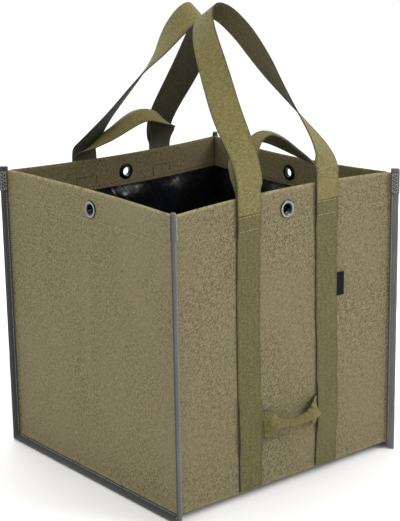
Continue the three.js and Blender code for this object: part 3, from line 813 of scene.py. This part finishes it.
def make_tip_handle(material):
    """Low on the front between the straps, bowed out and folded in its middle"""
    half_gap = STRAP_OFFSET - WEBBING_WIDTH / 2
    half = [(Vector((half_gap + TIP_TUCK, 0, 0)), [0])]
    half += [(Vector((x * half_gap, out * -TIP_BOW, 0)), [fold]) for x, out, fold in TIP_PATH]
    path = [(Vector((-place.x, place.y, 0)), fold) for place, fold in half] + half[-2::-1]
    centres, folds = [], []
    for place, (fold,) in along_path(path, 5):
        flat = wall_point(WALLS["front"], place.x, TIP_HEIGHT, STRAP_DEPTH)
        centres.append(flat + Y * min(0.0, place.y))
        folds.append(fold)
    sections = [
        (centre, -Z, (-Z).cross(tangent).normalized(), fold)
        for centre, tangent, fold in zip(centres, tangents(centres), folds)
    ]
    return band(sections, "tip_loop", ["tip_handle"], material)


# Metal, label and thread


def lathe(profile, frame_at, name, slot, node, material):
    """A profile of (radius, out, painted darkness) turned round the normal of a wall's frame"""
    at, normal, along, up = frame_at
    sides = 48
    angles = [2 * math.pi * i / sides for i in range(sides + 1)]
    cloth, rows = Cloth(), []
    for radius, out, painted_dark in profile:
        rows.append([
            (
                at + normal * out + (along * math.cos(a) + up * math.sin(a)) * radius,
                (a * radius, out), painted_dark,
            )
            for a in angles
        ])
    cloth.grid(rows, along.cross(up).dot(normal) > 0)
    return cloth.piece(name, slot, [node], material, sharp=50)


def make_eyelet(name, metal, dark):
    """A ring with its barrel through the hem, rolled over a washer inside. Profiles are radius,
    out and painted darkness: dark reflections and shade on the ring's edges and in its bore, and
    shade on the washer's side against the canvas."""
    frame_at = wall_frame(WALLS[name], 0, HEIGHT - EYELET_DROP)
    barrel = EYELET_BORE + 0.0008
    top = -2 * (CANVAS + CLEARANCE)
    lip = top - 0.0009
    ring = [
        (EYELET_BORE, lip - 0.0008, 1), (barrel + 0.0002, lip - 0.0013, 0.9),
        (barrel + 0.0009, lip - 0.0008, 0.9), (barrel + 0.0008, lip, 1), (barrel, lip, 1),
        (barrel, 0.0002, 1), (EYELET_RADIUS - 0.0003, 0.0002, 1), (EYELET_RADIUS, 0.0005, 1),
        (EYELET_RADIUS - 0.0003, 0.0011, 1), (EYELET_RADIUS - 0.001, 0.0015, 0.8),
        (EYELET_RADIUS - 0.0018, 0.0017, 0), (EYELET_RADIUS - 0.003, 0.0016, 0.15),
        (barrel + 0.001, 0.0013, 0.6), (barrel + 0.0002, 0.0008, 1), (EYELET_BORE, 0.0, 1),
        (EYELET_BORE, lip - 0.0008, 1),
    ]
    lathe(ring, frame_at, f"eyelet_ring_{name}", "nickel", f"eyelet_{name}", metal)
    washer = [
        (barrel + 0.0003, top - 0.0008, 0), (WASHER_RADIUS - 0.0012, top - 0.0009, 0),
        (WASHER_RADIUS, top - 0.0003, 0.5), (WASHER_RADIUS, top, 1), (barrel + 0.0003, top, 1),
        (barrel + 0.0003, top - 0.0008, 0),
    ]
    lathe(washer, frame_at, f"washer_ring_{name}", "dark_metal", f"washer_{name}", dark)


def make_label(material):
    """A folded woven tab caught under the strap's edge"""
    wall = WALLS["front"]
    near = STRAP_OFFSET + WEBBING_WIDTH / 2 - 0.001
    section = band_section(LABEL_HEIGHT, LABEL, 8)
    cloth, rows = Cloth(), []
    for across in spread(near, near + LABEL_WIDTH + 0.001, 0.0015):
        share = (across - near) / LABEL_WIDTH
        lift = WEBBING_GAP + 0.0006 + 0.0009 * share * share
        row = []
        for u, w, mark in section:
            at = wall_point(wall, across, LABEL_LEVEL + u, 0)
            row.append((at + wall.outward * (lift + w), (across, u), mark))
        rows.append(row)
    cloth.tube(rows, True)
    return cloth.piece("label_tab", "label", ["side_label"], material, sharp=50)


# One stitch: share of its length, share of its radius, and lift in radii
STITCH = ((0, 0.3, -0.5), (0.14, 0.85, 0.3), (0.5, 1, 0.55), (0.86, 0.85, 0.3), (1, 0.3, -0.5))


class Thread:
    """Rows of stitches, each a short length of thread that dips into the cloth at its ends"""

    def __init__(self):
        self.cloth = Cloth()

    def stitch(self, start, end, normal, radius):
        length = (end - start).length
        along = (end - start).normalized()
        side = along.cross(normal).normalized()
        angles = [2 * math.pi * i / 6 for i in range(7)]
        rows = []
        for share, full, lift in STITCH:
            centre = start + along * (share * length) + normal * (lift * radius)
            rows.append([
                (
                    centre + (side * math.cos(a) + normal * math.sin(a)) * (radius * full),
                    (share * length, a * radius), 0.0,
                )
                for a in angles
            ])
        self.cloth.grid(rows)

    def run(self, places, pitch, radius, filled=0.72):
        """Stitches along (point, normal) places, at a pitch"""
        spare = 0.0
        for (start, normal), (end, _) in zip(places, places[1:]):
            step = end - start
            length = step.length
            if length < 1e-7:
                continue
            reach = spare
            while reach + pitch * filled <= length + 1e-6:
                a = start + step * (reach / length)
                b = start + step * ((reach + pitch * filled) / length)
                self.stitch(a, b, normal, radius)
                reach += pitch
            spare = max(0.0, reach - length)


def wall_line(wall, start, end, height, out):
    """Places along a wall at a height, a little out of its face"""
    places = []
    for across in spread(start, end, 0.012):
        at, normal, _, _ = wall_frame(wall, across, height)
        places.append((at + normal * out, normal))
    return places


def facing_line(wall, corners):
    """Places on the facing inside a wall, through (across, height) corners"""
    places = []
    for (x0, z0), (x1, z1) in zip(corners, corners[1:]):
        count = max(1, round(max(abs(x1 - x0), abs(z1 - z0)) / 0.01))
        for i in range(count + 1):
            across, height = lerp(x0, x1, i / count), lerp(z0, z1, i / count)
            _, normal, _, _ = wall_frame(wall, across, height)
            depth = 2 * CANVAS + CLEARANCE + facing_lip(height) + CLEARANCE
            places.append((wall_point(wall, across, height, depth), -normal))
    return places


def make_stitches(light, dark):
    """The hem's seam, the lines across the straps' ends and the boxes at the handles' feet"""
    cloth = bpy.context.scene.carrier_cloth
    pitch, radius = cloth.stitch_pitch, cloth.thread / 2
    pale, deep = Thread(), Thread()
    edge, half, proud = HALF - CORNER_INSET, WEBBING_WIDTH / 2, 0.0002
    (left, right), (next_left, next_right) = bands = [
        (side * STRAP_OFFSET - half, side * STRAP_OFFSET + half) for side in (-1, 1)
    ]
    for name, wall in WALLS.items():
        if name in ("front", "back"):
            for low, high in ((-edge, left), (right, next_left), (next_right, edge)):
                pale.run(wall_line(wall, low, high, HEM_SEAM, proud), pitch, radius)
            over = -strap_height(name, HEM_SEAM) + WEBBING / 2 + 0.0001
            for low, high in bands:
                for inset, height in (
                    (SEAM_INSET, HEM_SEAM), (FOOT_INSET, STITCH_LINE - FOOT_DROP)
                ):
                    seam = wall_line(wall, low + inset, high - inset, height, over)
                    pale.run(seam, pitch, radius)
                near, far = low + SEAM_INSET, high - SEAM_INSET
                bottom, top = HEM_LINE + BOX_RISE, STITCH_LINE - SEAM_INSET
                box = [(near, bottom), (near, top), (far, top), (far, bottom)]
                deep.run(facing_line(wall, box), pitch, radius * 1.3)
        else:
            pale.run(wall_line(wall, -edge, edge, HEM_SEAM, proud), pitch, radius)
        deep.run(facing_line(wall, [(-edge, HEM_SEAM), (edge, HEM_SEAM)]), pitch, radius)
    pale.cloth.piece("stitches_pale", "canvas", [], light, sharp=80)
    deep.cloth.piece("stitches_deep", "canvas", [], dark, sharp=80)


def make_tape_stitches(thread):
    """The seam along each edge of the binding, and the bars that hold the caps"""
    cloth = bpy.context.scene.carrier_cloth
    pitch, radius = cloth.stitch_pitch * 0.8, cloth.thread / 2
    seam = Thread()
    out = TAPE_SETBACK + TAPE_INSET
    near, far = TAPE_SETBACK + 0.0018, FLANGE + CLEARANCE - 0.0012
    low, high = HEIGHT - CAP_HEIGHT + BAR_INSET, HEIGHT - BAR_INSET
    zigzag = [(near if i % 2 else far, z) for i, z in enumerate(spread(low, high, BAR_STEP))]
    box = [(near, low), (near, high), (far, high), (far, low), (near, low)]
    for side, face in ((side, face) for side in (-1, 1) for face in (-1, 1)):
        over = face * (SLOT_HALF + TAPE) * TAPE_SWELL
        cap_over = face * (SLOT_HALF + CAP) * CAP_SWELL
        normal_side, normal_face = seam_offsets(0, face)
        normals = {
            end: Vector((side * normal_side, end * normal_face, 0)) for end in (-1, 1)
        }
        for end, normal in normals.items():
            heights = spread(TAPE_TURN, HEIGHT - CAP_HEIGHT - BAR_INSET, 0.02)
            places = [(corner_place(side, end, out, over, z), normal) for z in heights]
            seam.run(places, pitch, radius)
        under = Vector((side * normal_side, 0, -normal_face))
        ys = spread(TAPE_TURN - HALF, HALF - TAPE_TURN, 0.02)
        seam.run([(bottom_place(side, out, over, y), under) for y in ys], pitch, radius)
        for end, normal in normals.items():
            for line in (zigzag, box):
                places = [
                    (corner_place(side, end, o, cap_over, z) + normal * 0.0001, normal)
                    for o, z in line
                ]
                for a, b in zip(places, places[1:]):
                    seam.run([a, b], pitch, radius * 1.2)
    return seam.cloth.piece("stitches_tape", "tape", [], thread, sharp=80)


# Finishes


class Finish:
    """A material whose nodes are added one by one to its shader"""

    def __init__(self, name, roughness, metallic=0.0, **sockets):
        self.material = bpy.data.materials.new(name)
        self.material.use_nodes = True
        self.tree = self.material.node_tree
        self.shader = self.tree.nodes["Principled BSDF"]
        self.shader.inputs["Roughness"].default_value = roughness
        self.shader.inputs["Metallic"].default_value = metallic
        for socket, value in sockets.items():
            self.shader.inputs[socket.replace("_", " ")].default_value = value

    def put(self, socket, value):
        """Links another node's output to a socket, or sets the socket to a constant"""
        if isinstance(value, bpy.types.NodeSocket):
            self.tree.links.new(value, socket)
        else:
            socket.default_value = value

    def add(self, kind, *values, settings=None, **named):
        node = self.tree.nodes.new(kind)
        for key, value in (settings or {}).items():
            setattr(node, key, value)
        for i, value in enumerate(values):
            self.put(node.inputs[i], value)
        for key, value in named.items():
            self.put(node.inputs[key.replace("_", " ")], value)
        return node

    def maths(self, operation, *values, clamped=False):
        settings = {"operation": operation, "use_clamp": clamped}
        return self.add("ShaderNodeMath", *values, settings=settings).outputs[0]

    def pattern(self):
        """The flat pattern's place, in metres, whole and as u and v"""
        uv = self.add("ShaderNodeUVMap", settings={"uv_map": "pattern"}).outputs[0]
        parts = self.add("ShaderNodeSeparateXYZ", uv)
        return uv, parts.outputs[0], parts.outputs[1]

    def place(self):
        return self.add("ShaderNodeTexCoord").outputs["Object"]

    def mark(self):
        return self.add("ShaderNodeAttribute", settings={"attribute_name": "mark"}).outputs["Fac"]

    def moved(self, vector, turn=0.0, scale=(1, 1, 1)):
        return self.add(
            "ShaderNodeMapping", Vector=vector, Rotation=(0, 0, math.radians(turn)), Scale=scale
        ).outputs[0]

    def clouds(self, vector, scale, detail=2.0, rough=0.5):
        return self.add(
            "ShaderNodeTexNoise", Vector=vector, Scale=scale, Detail=detail, Roughness=rough
        ).outputs["Fac"]

    def ramp(self, value, low, high, to_low=0.0, to_high=1.0):
        return self.add("ShaderNodeMapRange", value, low, high, to_low, to_high).outputs[0]

    def wave(self, value, pitch):
        """A sine of a length, once every pitch, from 0 to 1"""
        sine = self.maths("SINE", self.maths("MULTIPLY", value, 2 * math.pi / pitch))
        return self.maths("MULTIPLY_ADD", sine, 0.5, 0.5)

    def mix(self, share, first, second):
        node = self.add("ShaderNodeMix", settings={"data_type": "RGBA"})
        for socket, value in zip((node.inputs[0], node.inputs[6], node.inputs[7]),
                                 (share, first, second)):
            self.put(socket, value)
        return node.outputs[2]

    def colour(self, value):
        self.put(self.shader.inputs["Base Color"], value)

    def roughen(self, value):
        self.put(self.shader.inputs["Roughness"], value)

    def strands(self, vector, scale, turn=0.0, rough=0.6):
        """Clouds stretched into strands, along a turned direction"""
        if turn:
            vector = self.moved(vector, turn)
        return self.clouds(self.moved(vector, 0, scale), 1.0, 2.0, rough)

    def summed(self, *parts):
        """The sum of values, each times its weight"""
        (value, weight), *others = parts
        total = self.maths("MULTIPLY", value, weight)
        for value, weight in others:
            total = self.maths("MULTIPLY_ADD", value, weight, total)
        return total

    def faded(self, fading, base, share, pale):
        """The base with a share of a paler tone in its faded places"""
        return self.mix(fading, base, self.mix(share, base, pale))

    def bump(self, height, distance, strength=1.0):
        node = self.add("ShaderNodeBump", Strength=strength, Distance=distance, Height=height)
        self.put(self.shader.inputs["Normal"], node.outputs[0])


def tone(colour, factor, shift=(1, 1, 1)):
    """A colour lighter or darker by a factor, with its channels shifted"""
    return tuple(c * factor * s for c, s in zip(colour, shift)) + (1.0,)


def canvas_finish(name, colour, seed, streak):
    """Waxed canvas: diagonal twill, slanting streaks, soft cloudy fading and worn folds. Marks from
    0 to 1 are wear, with a painted highlight along the rim; -1 is the facing inside, its browner
    reverse side darkened by painted shade; -2 is a line of painted shade in its corners."""
    cloth = bpy.context.scene.carrier_cloth
    finish = Finish(name, 0.86, Sheen_Weight=0.06, Sheen_Roughness=0.6)
    uv, u, v = finish.pattern()
    place = finish.place()
    twill = finish.wave(finish.maths("ADD", u, v), cloth.twill_pitch)
    streaks = finish.strands(uv, (150, 620, 1), -52 - seed)
    warp = finish.strands(uv, (760, 190, 1))
    weft = finish.strands(uv, (190, 760, 1))
    specks = finish.clouds(place, 520, 2.0, 0.75)
    fading = finish.clouds(place, 7.5, 4.0, 0.55)
    grain = finish.summed((warp, 1), (weft, 1), (streaks, streak), (specks, 1.8), (twill, 0.25))
    middle = 2.03 + streak / 2
    light = finish.ramp(grain, middle - 0.24, middle + 0.24)
    base = finish.mix(light, tone(colour, 0.36, (1.0, 0.99, 0.9)), tone(colour, 1.64))
    pale = tone(colour, 1.12, (1.03, 0.99, 0.96))
    faded = finish.faded(finish.ramp(fading, 0.36, 0.66), base, 0.5, pale)
    patches = finish.ramp(finish.clouds(place, 160, 3.0), 0.3, 0.6)
    # Wear, and the painted highlight along the rim
    wear_and_painted_light = finish.maths("MULTIPLY", finish.mark(), patches, clamped=True)
    # Painted shade over the facing inside, which is also the canvas's browner reverse side
    inside = finish.ramp(finish.mark(), 0.0, -1.0)
    brown = (1, 0.96, 0.78)
    facing = finish.mix(light, tone(colour, 0.5, brown), tone(colour, 1.12, brown))
    shaded = finish.mix(inside, faded, facing)
    # A dark line of painted shade in the facing's corners
    corner = finish.ramp(finish.mark(), -1.0, -2.0)
    shaded = finish.mix(corner, shaded, tone(colour, 0.1))
    finish.colour(finish.mix(wear_and_painted_light, shaded, tone(colour, 2.1, (1.0, 1.0, 1.04))))
    finish.roughen(finish.ramp(fading, 0.3, 0.7, 0.92, 0.78))
    finish.bump(finish.maths("MULTIPLY_ADD", twill, 0.4, grain), 0.00035, 0.8)
    return finish.material


def webbing_finish(name, colour):
    """Heavy webbing: lengthwise ribs, fine cross threads, painted shade on its edges, marked 1, and
    painted shade on its inner side, marked -1"""
    webbing = bpy.context.scene.carrier_webbing
    finish = Finish(name, 0.8, Sheen_Weight=0.06, Sheen_Roughness=0.5)
    uv, u, v = finish.pattern()
    place = finish.place()
    ribs = finish.wave(u, webbing.rib_pitch)
    slant = finish.maths("ADD", finish.maths("PINGPONG", u, webbing.rib_pitch * 2), v)
    picks = finish.wave(slant, webbing.pick_pitch)
    fibres = finish.strands(uv, (160, 620, 1))
    specks = finish.clouds(place, 300, 2.0, 0.7)
    fading = finish.clouds(place, 11, 3.0, 0.5)
    weave = finish.summed((ribs, 0.35), (picks, 0.6), (fibres, 1.5), (specks, 1.4))
    light = finish.ramp(weave, 1.56, 2.3)
    base = finish.mix(light, tone(colour, 0.42), tone(colour, 1.54))
    pale = tone(colour, 1.25, (1.03, 1.0, 0.96))
    faded = finish.faded(finish.ramp(fading, 0.38, 0.66), base, 0.35, pale)
    # Painted shade on the inner side
    inside = finish.ramp(finish.mark(), 0.0, -1.0, 0.0, 0.95)
    shaded = finish.mix(inside, faded, finish.mix(light, tone(colour, 0.12), tone(colour, 0.38)))
    # Painted shade on the edges, broken by the cross threads
    edge = finish.ramp(finish.mark(), 0.0, 1.0)
    edge = finish.maths("MULTIPLY", edge, finish.ramp(picks, 0.0, 1.0, 0.8, 1.0))
    finish.colour(finish.mix(edge, shaded, tone(colour, 0.14, (1.1, 0.9, 0.9))))
    finish.bump(weave, 0.0006, 0.9)
    return finish.material


def lining_finish():
    """Coated lining: nearly black, slack gathers and a soft shine"""
    colour = bpy.context.scene.carrier_trim.lining_colour
    finish = Finish("lining_black", 0.32, Coat_Weight=0.15, Coat_Roughness=0.25)
    uv, _, _ = finish.pattern()
    place = finish.place()
    gathers = finish.strands(uv, (14, 150, 1), 60, 0.5)
    crumple = finish.clouds(place, 26, 2.0, 0.5)
    fine = finish.clouds(place, 240, 3.0, 0.6)
    finish.colour(finish.mix(finish.ramp(fine, 0.35, 0.7), tone(colour, 0.75), tone(colour, 1.5)))
    finish.roughen(finish.ramp(crumple, 0.3, 0.7, 0.18, 0.38))
    finish.bump(finish.summed((gathers, 5.0), (crumple, 9.0)), 0.0008, 0.8)
    return finish.material


def tape_finish():
    """Binding tape: grosgrain ribs across its length, a dusty fade and painted shade where marked
    """
    colour = bpy.context.scene.carrier_trim.tape_colour
    finish = Finish("tape_grey", 0.82, Sheen_Weight=0.15)
    uv, _, v = finish.pattern()
    ribs = finish.wave(v, 0.0011)
    fibres = finish.strands(uv, (300, 1300, 1))
    fading = finish.clouds(finish.place(), 16, 3.0, 0.55)
    weave = finish.summed((ribs, 0.5), (fibres, 1.1))
    base = finish.mix(finish.ramp(weave, 0.45, 1.15), tone(colour, 0.62), tone(colour, 1.25))
    dusty = finish.mix(
        finish.ramp(fading, 0.4, 0.66, 0.0, 0.5), base, tone(colour, 1.5, (1.02, 1.0, 0.98))
    )
    # Painted shade at the tape's edges and on its side panel's side
    finish.colour(finish.mix(finish.mark(), dusty, tone(colour, 0.16)))
    finish.bump(weave, 0.0003, 0.9)
    return finish.material


def metal_finish(name, colour, roughness, scratched):
    """Plated metal with fine scratches, a slightly uneven polish and painted dark reflections and
    shade where marked
    """
    finish = Finish(name, roughness, metallic=1.0)
    place = finish.place()
    scratches = finish.clouds(finish.moved(place, 30, (2600, 240, 900)), 1.0, 2.0, 0.6)
    polish = finish.clouds(place, 190, 3.0, 0.5)
    clean = finish.mix(finish.ramp(polish, 0.3, 0.7), tone(colour, 0.8), tone(colour, 1.08))
    # Painted dark reflections and shade where marked
    finish.colour(finish.mix(finish.mark(), clean, tone(colour, 0.05)))
    finish.roughen(finish.ramp(polish, 0.3, 0.7, roughness * 0.7, roughness * 1.5))
    finish.bump(scratches, 0.00004, scratched)
    return finish.material


def thread_finish(name, colour):
    """Twisted sewing thread"""
    finish = Finish(name, 0.7, Sheen_Weight=0.2)
    _, u, v = finish.pattern()
    twist = finish.wave(finish.maths("ADD", u, v), 0.0006)
    fibres = finish.clouds(finish.place(), 900, 2.0, 0.6)
    light = finish.ramp(finish.maths("ADD", twist, fibres), 0.4, 1.5)
    finish.colour(finish.mix(light, tone(colour, 0.72), tone(colour, 1.15)))
    finish.bump(twist, 0.0001, 0.8)
    return finish.material


def label_finish():
    """Plain woven tab: dense satin threads, no lettering"""
    colour = bpy.context.scene.carrier_trim.label_colour
    finish = Finish("label_black", 0.75, Specular_IOR_Level=0.15)
    _, u, v = finish.pattern()
    weave = finish.maths("ADD", finish.wave(u, 0.0005), finish.wave(v, 0.0007))
    lint = finish.clouds(finish.place(), 620, 3.0, 0.6)
    height = finish.maths("ADD", weave, lint)
    finish.colour(finish.mix(finish.ramp(height, 0.6, 2.2), tone(colour, 0.6), tone(colour, 1.9)))
    finish.bump(height, 0.0002, 0.8)
    return finish.material


# Settings


def colour_property(name, description, default):
    return FloatVectorProperty(
        name=name, description=description, subtype="COLOR", size=3, min=0, max=1,
        default=linear(*default),
    )


def length_property(name, description, default, high=0.05):
    return FloatProperty(
        name=name, description=description, default=default, min=0, max=high, precision=5,
        unit="LENGTH",
    )


def power_property(name, place, default):
    return FloatProperty(
        name=name, description=f"Power of the light {place}", default=default, min=0,
        unit="POWER",
    )


class CarrierClothSettings(bpy.types.PropertyGroup):
    front_colour: colour_property(
        "Front Canvas", "Colour of the long canvas panel", (0.405, 0.370, 0.253))
    side_colour: colour_property(
        "Side Canvas", "Colour of the two side panels", (0.418, 0.385, 0.252))
    twill_pitch: length_property("Twill Pitch", "From one twill line to the next", 0.0016)
    buckle: length_property("Buckle", "Height of the broad buckles in the walls", 0.0045)
    wrinkle: length_property("Wrinkle", "Height of the slanting wrinkles", 0.0009)
    stitch_pitch: length_property("Stitch Pitch", "From one stitch to the next", 0.0042)
    thread: length_property("Thread", "Thickness of the sewing thread", 0.0009)


class CarrierWebbingSettings(bpy.types.PropertyGroup):
    strap_colour: colour_property("Straps", "Colour of the sewn straps", (0.337, 0.308, 0.132))
    # The handles are the straps' webbing in a lighter colour: a painted highlight, as their tops
    # face the light
    lit_handle_colour: colour_property("Handles", "Colour of the handles", (0.42, 0.388, 0.205))
    rib_pitch: length_property("Rib Pitch", "From one lengthwise rib to the next", 0.0024)
    pick_pitch: length_property("Pick Pitch", "From one cross thread to the next", 0.0018)


class CarrierTrimSettings(bpy.types.PropertyGroup):
    tape_colour: colour_property("Tape", "Colour of the binding tape", (0.315, 0.32, 0.316))
    lining_colour: colour_property("Lining", "Colour of the lining", (0.055, 0.06, 0.068))
    label_colour: colour_property("Label", "Colour of the plain woven tab", (0.032, 0.03, 0.042))
    pale_thread: colour_property("Pale Thread", "Thread seen outside", (0.63, 0.59, 0.44))
    dark_thread: colour_property("Dark Thread", "Thread seen inside", (0.07, 0.065, 0.05))
    tape_thread: colour_property("Tape Thread", "Thread on the binding", (0.56, 0.57, 0.56))
    nickel: colour_property("Nickel", "Colour of the eyelets", (0.58, 0.58, 0.58))
    # The washers are the eyelets' metal given a dark colour: painted shade inside the bag
    washer: colour_property("Washer", "Colour of the washers inside", (0.17, 0.16, 0.15))


class CarrierStageSettings(bpy.types.PropertyGroup):
    floor_colour: colour_property("Floor", "Colour of the floor", (0.985, 0.985, 0.985))
    key_power: power_property("Key", "at the front right", 44)
    fill_power: power_property("Fill", "at the left", 12)
    top_power: power_property("Top", "above and behind", 22)
    sky: FloatProperty(
        name="Sky", description="Strength of the even light all round", default=1.03, min=0)


# Operators


class CARRIER_OT_stage(bpy.types.Operator):
    """Camera at the photograph's angle, pale floor and soft lights"""

    bl_idname = "carrier.stage"
    bl_label = "Stage"

    def execute(self, context):
        scene = context.scene
        stage = scene.carrier_stage
        scene.view_settings.view_transform = "Standard"
        back = Vector((
            math.sin(CAMERA_AZIMUTH) * math.cos(CAMERA_ELEVATION),
            -math.cos(CAMERA_AZIMUTH) * math.cos(CAMERA_ELEVATION),
            math.sin(CAMERA_ELEVATION),
        ))
        right = (-back).cross(Z).normalized()
        up = right.cross(-back)
        side = right * math.cos(CAMERA_ROLL) + up * math.sin(CAMERA_ROLL)
        head = up * math.cos(CAMERA_ROLL) - right * math.sin(CAMERA_ROLL)
        data = bpy.data.cameras.new("camera")
        data.lens = CAMERA_LENS
        scene.camera = shown("camera", data)
        axes = Matrix((side, head, back)).transposed().to_4x4()
        place = CAMERA_TARGET + PLACE + back * CAMERA_DISTANCE
        scene.camera.matrix_world = Matrix.Translation(place) @ axes

        mesh = bpy.data.meshes.new("floor")
        corners = [(-1, -1), (1, -1), (1, 1), (-1, 1)]
        mesh.from_pydata(
            [(x * FLOOR_REACH, y * FLOOR_REACH, 0) for x, y in corners], [], [(0, 1, 2, 3)]
        )
        finish = Finish("floor_pale", 0.75)
        spots = finish.clouds(finish.place(), 3.0, 2.0, 0.5)
        colour = stage.floor_colour
        finish.colour(finish.mix(spots, tone(colour, 0.985), tone(colour, 1.01)))
        mesh.materials.append(finish.material)
        floor = shown("floor", mesh)

        world = bpy.data.worlds.new("studio")
        world.use_nodes = True
        background = world.node_tree.nodes["Background"]
        background.inputs["Color"].default_value = (1.0, 1.0, 1.0, 1.0)
        background.inputs["Strength"].default_value = stage.sky
        scene.world = world

        aim = PLACE + Z * HALF
        lamps = (
            ("key", (1.5, -2.3, 2.0), 1.3, stage.key_power),
            ("fill", (-1.7, -1.0, 2.6), 1.6, stage.fill_power),
            ("top", (0.3, 1.5, 2.5), 1.5, stage.top_power),
        )
        for name, at, size, power in lamps:
            data = bpy.data.lights.new(name, "AREA")
            data.size = size
            data.energy = power
            lamp = shown(name, data)
            lamp.location = at
            lamp.rotation_euler = (aim - Vector(at)).to_track_quat("-Z", "Y").to_euler()
        return {"FINISHED"}


class CARRIER_OT_canvas(bpy.types.Operator):
    """The long canvas panel and the two side panels"""

    bl_idname = "carrier.canvas"
    bl_label = "Canvas Panels"

    def execute(self, context):
        cloth = context.scene.carrier_cloth
        make_wrap(canvas_finish("canvas_front", cloth.front_colour, 0, 1.5))
        side = canvas_finish("canvas_sides", cloth.side_colour, 6, 0.7)
        for name in ("left", "right"):
            make_side(name, side)
        return {"FINISHED"}


class CARRIER_OT_lining(bpy.types.Operator):
    """The dark coated lining"""

    bl_idname = "carrier.lining"
    bl_label = "Lining"

    def execute(self, context):
        make_lining(lining_finish())
        return {"FINISHED"}


class CARRIER_OT_binding(bpy.types.Operator):
    """Tape round the seams and folded over their tops, with its stitches"""

    bl_idname = "carrier.binding"
    bl_label = "Binding"

    def execute(self, context):
        tape = tape_finish()
        for side_name, side in (("left", -1), ("right", 1)):
            make_binding(side_name, tape)
            for end_name, end in (("front", -1), ("back", 1)):
                make_cap(f"{end_name}_{side_name}", side, end, tape)
        make_tape_stitches(thread_finish("thread_tape", context.scene.carrier_trim.tape_thread))
        return {"FINISHED"}


class CARRIER_OT_webbing(bpy.types.Operator):
    """Straps, long handles, short handles and the tip handle"""

    bl_idname = "carrier.webbing"
    bl_label = "Webbing"

    def execute(self, context):
        settings = context.scene.carrier_webbing
        straps = webbing_finish("webbing_straps", settings.strap_colour)
        # The handles' lighter colour is painted light on the straps' webbing
        webbing = webbing_finish("webbing_handles_lit", settings.lit_handle_colour)
        for name, side in (("left", -1), ("right", 1)):
            sections = strap_sections(side * STRAP_OFFSET)
            # The straps' inner side, against the canvas, gets painted shade
            band(sections, f"webbing_strap_{name}", [f"strap_{name}"], straps, -1)
        for name in ("front", "back"):
            make_long_handle(name, webbing)
            make_short_handle(name, webbing)
        make_tip_handle(webbing)
        return {"FINISHED"}


class CARRIER_OT_eyelets(bpy.types.Operator):
    """Nickel eyelets with washers inside, painted dark for shade"""

    bl_idname = "carrier.eyelets"
    bl_label = "Eyelets"

    def execute(self, context):
        trim = context.scene.carrier_trim
        metal = metal_finish("nickel", trim.nickel, 0.16, 0.5)
        # The washers' dark colour is painted shade
        dark = metal_finish("washer_painted_shade", trim.washer, 0.36, 0.7)
        for name in WALLS:
            make_eyelet(name, metal, dark)
        return {"FINISHED"}


class CARRIER_OT_label(bpy.types.Operator):
    """The plain tab at the right strap"""

    bl_idname = "carrier.label"
    bl_label = "Label"

    def execute(self, context):
        make_label(label_finish())
        return {"FINISHED"}


class CARRIER_OT_stitches(bpy.types.Operator):
    """Hem seams and the seams that hold the webbing"""

    bl_idname = "carrier.stitches"
    bl_label = "Stitches"

    def execute(self, context):
        trim = context.scene.carrier_trim
        make_stitches(
            thread_finish("thread_pale", trim.pale_thread),
            thread_finish("thread_dark", trim.dark_thread),
        )
        return {"FINISHED"}


class CARRIER_PT_panel(bpy.types.Panel):
    """The carrier's pieces and settings"""

    bl_label = "Canvas Log Carrier"
    bl_space_type = "VIEW_3D"
    bl_region_type = "UI"
    bl_category = "Carrier"

    def draw(self, context):
        layout = self.layout
        for operator in OPERATORS:
            layout.operator(operator.bl_idname)
        for name in SETTINGS:
            settings = getattr(context.scene, name)
            box = layout.box()
            for key in settings.bl_rna.properties.keys():
                if key not in ("rna_type", "name"):
                    box.prop(settings, key)


SETTINGS = {
    "carrier_cloth": CarrierClothSettings,
    "carrier_webbing": CarrierWebbingSettings,
    "carrier_trim": CarrierTrimSettings,
    "carrier_stage": CarrierStageSettings,
}
OPERATORS = (
    CARRIER_OT_stage, CARRIER_OT_canvas, CARRIER_OT_lining, CARRIER_OT_binding,
    CARRIER_OT_webbing, CARRIER_OT_eyelets, CARRIER_OT_label, CARRIER_OT_stitches,
)


def register():
    for cls in (*SETTINGS.values(), *OPERATORS, CARRIER_PT_panel):
        bpy.utils.register_class(cls)
    for name, cls in SETTINGS.items():
        setattr(bpy.types.Scene, name, PointerProperty(type=cls))


def unregister():
    for name in SETTINGS:
        delattr(bpy.types.Scene, name)
    for cls in (CARRIER_PT_panel, *OPERATORS, *SETTINGS.values()):
        bpy.utils.unregister_class(cls)


def main():
    register()
    for operator in OPERATORS:
        group, name = operator.bl_idname.split(".")
        getattr(getattr(bpy.ops, group), name)()


if __name__ == "__main__":
    main()
